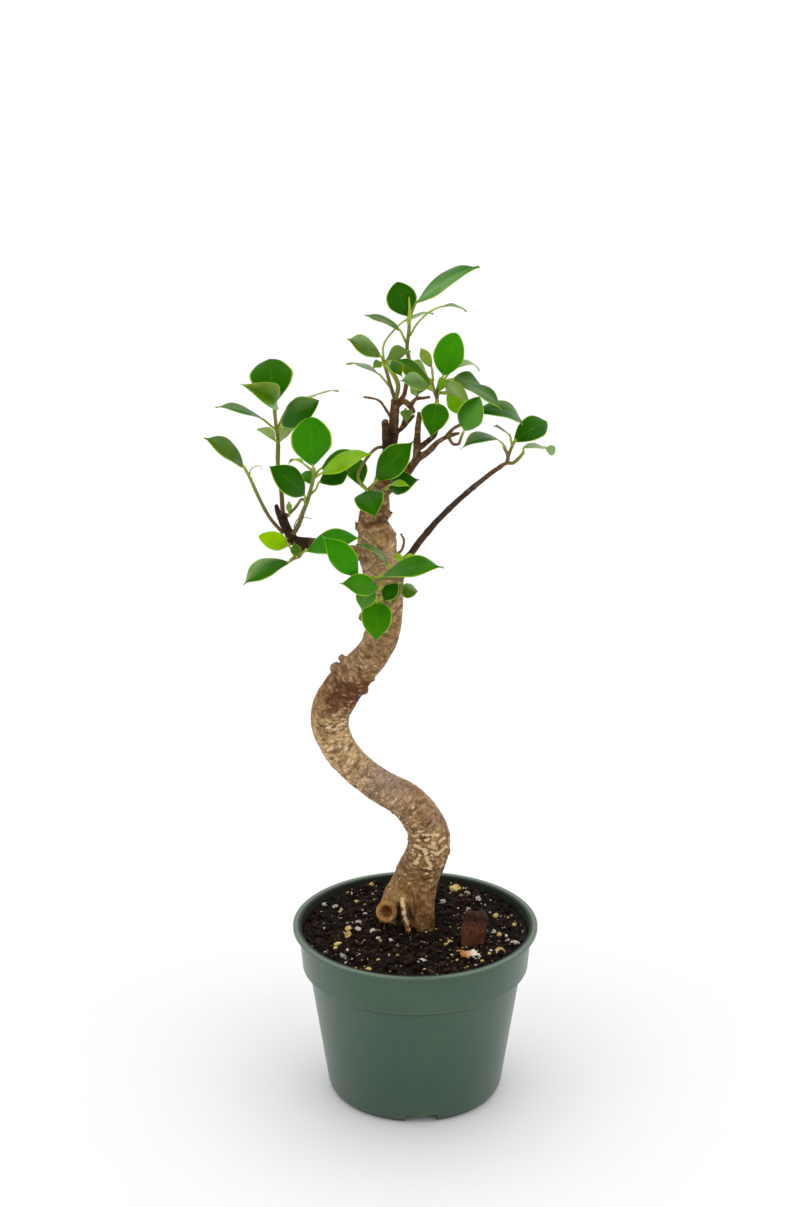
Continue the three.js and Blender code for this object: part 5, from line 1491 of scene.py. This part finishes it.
# One blade for each source point. Along runs from the stalk to the tip, across from edge to edge and
# layer from the underside to the upper side.
def buildBladeTree():
    sheet, given, out = geometryTree("leafBlades", [
        ("Rows", "Int", 27), ("Columns", "Int", 13), ("Thickness", "Float", 0.5)])
    slab = sheet.first("GeometryNodeMeshCube", {
        "Size": (1.0, 1.0, 1.0), "Vertices X": given["Rows"], "Vertices Y": given["Columns"],
        "Vertices Z": 2})
    x, y, z = sheet.xyz(sheet.position())
    edge, step = y * -2.0, x + 0.5
    blade = sheet.stored(slab, "along", step - sheet.maths("SINE", step * (2 * math.pi)) * 0.1)
    blade = sheet.stored(blade, "across", sheet.maths("SIGN", edge) * (abs(edge) ** 1.35))
    blade = sheet.stored(blade, "layer", z * 2.0)
    leaves = sheet.planted(given["Geometry"], blade)

    along, across, layer, wide, phase, blunt, power, arch, fold, length = (
        sheet.attribute(name) for name in (
            "along", "across", "layer", "bladeWidth", "phase", "blunt", "power", "arch", "fold",
            "bladeLength"))
    start, axis, side, upper = (
        sheet.attribute("blade" + name, "FLOAT_VECTOR") for name in ("Start", "Axis", "Side", "Upper"))
    sideways = abs(across)
    share = sheet.maths("MINIMUM", along / (blunt * (1 - leafLook["bodyEnd"]) + leafLook["bodyEnd"]), 1.0)
    arc = sheet.maths("SINE", (share ** power) * math.pi)
    pointed = sheet.smooth(along, 0.6, 1.0) * (1.0 - blunt) * 0.35
    body = sheet.most(arc, 0.0) ** (0.8 - blunt * along * 0.3 + pointed)
    drip = sheet.smooth(along, 0.55, 0.85) * (1.05 - along) * 0.5 * (1.0 - blunt)
    half = sheet.maths("SMOOTH_MAX", body, drip, 0.05) * wide * 0.5
    half = half * (1.0 + sheet.maths("SINE", along * 17.0 + phase * 5.0) * 0.018)
    off = half * across
    creased = sheet.maths("SQRT", off * off + 0.3) - 0.5477
    rise = arch * 4.0 * along * (1.0 - along) + creased * sheet.maths("SINE", fold)
    ripple = sheet.maths("SINE", along * 8.0 + phase * 6.3 + across) * across * across * 0.035 * wide
    droop = sheet.smooth(along, 0.8, 1.05) * (blunt - 1.0) * 0.9
    curl = across * across * -0.045 * wide
    quilt = sheet.maths("SINE", (along * leafLook["veinPairs"] - sideways * 2.4) * 2 * math.pi)
    puff = quilt * 0.025 * sheet.smooth(sideways, 0.02, 0.3) * sheet.smooth(sideways, 1.0, 0.75)
    rib = sheet.smooth(sideways, 0.12, 0.0) * (1.1 - along)
    thick = given["Thickness"] * (1.0 - (sideways ** 6.0) * 0.45)
    under = sheet.smooth(layer, 0.0, -1.0)
    lift = layer * thick * 0.5 - rib * (0.05 + under * 0.32) + puff
    place = (start + axis * (along * length) + side * (off * sheet.maths("COSINE", fold))
             + upper * (rise + ripple + droop + curl + lift))
    smooth = sheet.shaded(sheet.moved(leaves, "Position", place))
    sharp = sheet.maths("GREATER_THAN", sheet.first("GeometryNodeInputMeshEdgeAngle"), 0.9)
    crisp = sheet.first("GeometryNodeSetShadeSmooth", {
        "Geometry": smooth, "Selection": sharp, "Shade Smooth": False}, domain="EDGE")
    return sheet.handOut(out, crisp, given["Material"])


def buildLeafMaterial():
    made, sheet, surface = newMaterial("figLeaf", shine=0.36)
    surface.inputs["Specular Tint"].default_value = leafLook["gloss"]
    place = sheet.place()
    along, across, layer, skyward = (sheet.painted(name) for name in ("along", "across", "layer", "skyward"))
    sideways = abs(across)
    # painted sheen and shade: the colour turns from the tone to the far colour towards the tip and the upper
    # edge
    sheenAndShadeShift = sheet.smooth(along * 0.6 + across * skyward * 0.5, 0.15, 0.8)
    tone = sheet.blended(sheenAndShadeShift, sheet.painted("leafColour", "Color"), sheet.painted("farSheenAndShadeColour", "Color"))
    top = sheet.smooth(layer, -0.3, 0.3)
    clouds, fine, specks = sheet.mottled(place, 0.11, 0.9, 0.5)
    course = along * leafLook["veinPairs"] - sideways * 2.4 + sheet.noise(place, 0.35, 2.0) * 0.5
    veins = (sheet.smooth(abs(sheet.maths("FRACT", course) - 0.5), 0.10, 0.0)
             * sheet.smooth(sideways, 1.0, 0.8) * sheet.smooth(along, 1.0, 0.85))
    rib = sheet.smooth(sideways, 0.075, 0.02) * sheet.smooth(along, 1.02, 0.75)
    upper = sheet.coated(
        tone,
        (clouds * 0.6, sheet.blended(1.0, tone, (0.55, 0.68, 0.5, 1.0), blend="MULTIPLY")),
        (veins * 0.04, leafLook["rib"]),
        (rib * 0.06, leafLook["rib"]),
        (sheet.smooth(sideways, 0.9, 0.975) * 0.8, leafLook["margin"]),
        (sheet.smooth(along, 0.1, 0.0) * 0.6, leafLook["rib"]),
        (specks * 0.08, leafLook["speck"]))
    matt = sheet.coated(tone, (0.62, leafLook["under"]), (veins * 0.2 + rib * 0.4, leafLook["underRib"]))
    colour = sheet.blended(top, matt, upper)
    rough = sheet.smooth(top, 0.0, 1.0, 0.5, 0.26) + fine * 0.12
    sheet.finish(surface, colour, rough, fine * 0.22 - veins * 0.2 - rib * 0.2, 0.35, 0.0003)
    return made


stemLook = {
    "woody": srgb(104, 70, 40),
    "young": srgb(112, 112, 30),
    "ripe": srgb(168, 190, 40),
    "streak": srgb(96, 70, 34),
    "speck": srgb(186, 176, 120),
}


def buildStemMaterial():
    made, sheet, surface = newMaterial("greenStem")
    ripe = sheet.painted("ripeness")
    fine, specks = sheet.mottled(sheet.place(), 0.2, 2.0, 1.8)[1:]
    colour = sheet.coated(
        stemLook["woody"],
        (sheet.smooth(ripe, 0.1, 0.55), stemLook["young"]),
        (sheet.smooth(ripe, 0.5, 1.0), stemLook["ripe"]),
        (sheet.smooth(fine, 0.5, 0.68) * 0.4, stemLook["streak"]),
        (specks * 0.4, stemLook["speck"]))
    sheet.finish(surface, colour, 0.45 + fine * 0.25, fine, 0.3, 0.0003)
    return made


bladeTree = buildBladeTree()
leafMaterial = buildLeafMaterial()
stemMaterial = buildStemMaterial()


def bladeObject(name, leaves, pick):
    rows = []
    for each in leaves:
        start, axis, length, upper, side = bladeFrame(each)
        shade = pick.uniform(0.92, 1.08)
        bodyEnd = leafLook["bodyEnd"] + (1 - leafLook["bodyEnd"]) * each["blunt"]
        colour, farSheenAndShadeColour = (
            tuple(c * shade for c in srgb(*leafLook["tones"][each[key]])[:3]) for key in ("tone", "far"))
        rows.append({
            "bladeStart": start, "bladeAxis": axis, "bladeSide": side, "bladeUpper": upper,
            "bladeLength": length, "bladeWidth": each["width"], "arch": each["arch"],
            "fold": math.radians(each["fold"]), "power": math.log(0.5) / math.log(each["widest"] / bodyEnd),
            "blunt": each["blunt"], "phase": pick.random(), "skyward": math.copysign(1, side.z),
            "leafColour": colour, "farSheenAndShadeColour": farSheenAndShadeColour,
        })
    values = {key: [row[key] for row in rows] for key in rows[0]}
    source = meshObject("blades", values["bladeStart"], attributes=values)
    return grown(source, bladeTree, {
        "Rows": leafLook["rows"], "Columns": leafLook["columns"], "Thickness": leafLook["thickness"],
        "Material": leafMaterial}, name)


def stalkLine(each):
    start, axis, length, upper = bladeFrame(each)[:4]
    sunk = 0.07              # how far the stalk runs on under the blade, as a share of its length
    reach = start + axis * length * sunk + upper * (each["arch"] * 4 * sunk * (1 - sunk) - 0.35)
    girth = each["stalk"] * leafLook["stalkShare"]
    route = [*(inCrown(p) for p in each["start"]), start, reach]
    line = tapered(route, (girth * 1.08, girth * 0.9), (0.7, 1.0))
    return [*line[:-1], (reach, girth * 0.55, 1.0)]


def buildShoots():
    pick = random.Random(leafLook["seed"])
    for name, parts in shoots.items():
        leaves = [part for part in parts if "tip" in part]
        blades = bladeObject(name, leaves, pick)
        lines = [tapered([inCrown(p) for p in part["route"]], part["radii"], part["ripe"])
                 for part in parts if "route" in part]
        lines += [stalkLine(each) for each in leaves]
        stems = tubes("stems", lines, 1.2, 10, stemMaterial, knobs=0.14)
        finished(oneObject(name.replace("_", "") + "Leaves", [blades, stems]), "leaf", name)


buildShoots()
print("shoots made")


# Floor and light

# The room is bright all round but for the side that the camera stands on: level runs from frontLevel
# straight at the camera to roundLevel at right angles to it. Suns are given by where they stand.
stage = {
    "floorReach": 30,
    "floorColour": srgb(249, 248, 250),
    "floorRoughness": 0.7,
    "toCamera": (0.0, -0.942, 0.336),
    "frontLevel": 0.03,
    "roundLevel": 1.0,
    "darkWithin": (0.75, 0.25),
    "spread": 60,
    "suns": {
        "leftFront": (1.05, (-0.56, -0.65, 0.5)),
        "rightFront": (1.05, (0.56, -0.65, 0.5)),
        "overhead": (0.35, (0.05, 0.15, 1.0)),
    },
}


def buildStage():
    reach = stage["floorReach"]
    corners = [(-reach, -reach, 0), (reach, -reach, 0), (reach, reach, 0), (-reach, reach, 0)]
    floor = meshObject("floor", corners, faces=[(0, 1, 2, 3)])
    made, surface = newMaterial("floorPaper")[::2]
    surface.inputs["Base Color"].default_value = stage["floorColour"]
    surface.inputs["Roughness"].default_value = stage["floorRoughness"]
    floor.data.materials.append(made)


def buildLight():
    world = bpy.data.worlds.new("studio")
    bpy.context.scene.world = world
    world.use_nodes = True
    sheet = Sheet(world.node_tree)
    background = world.node_tree.nodes["Background"]
    direction = sheet.add("ShaderNodeTexCoord").outputs["Generated"]
    facing = sheet.vectors("DOT_PRODUCT", direction, stage["toCamera"])
    dark, light = stage["darkWithin"]
    level = sheet.smooth(facing, light, dark, stage["roundLevel"], stage["frontLevel"])
    straight = sheet.first("ShaderNodeLightPath")
    sheet.feed(background.inputs["Strength"], sheet.most(level, straight * stage["roundLevel"]))
    background.inputs["Color"].default_value = (1.0, 1.0, 1.0, 1.0)
    for name, (energy, where) in stage["suns"].items():
        data = bpy.data.lights.new(name, "SUN")
        data.energy = energy
        data.angle = math.radians(stage["spread"])
        lamp = bpy.data.objects.new(name, data)
        lamp.rotation_euler = Vector(where).to_track_quat("Z", "Y").to_euler()
        lamp.visible_glossy = False
        bpy.context.scene.collection.objects.link(lamp)


buildStage()
buildLight()
print("stage made")
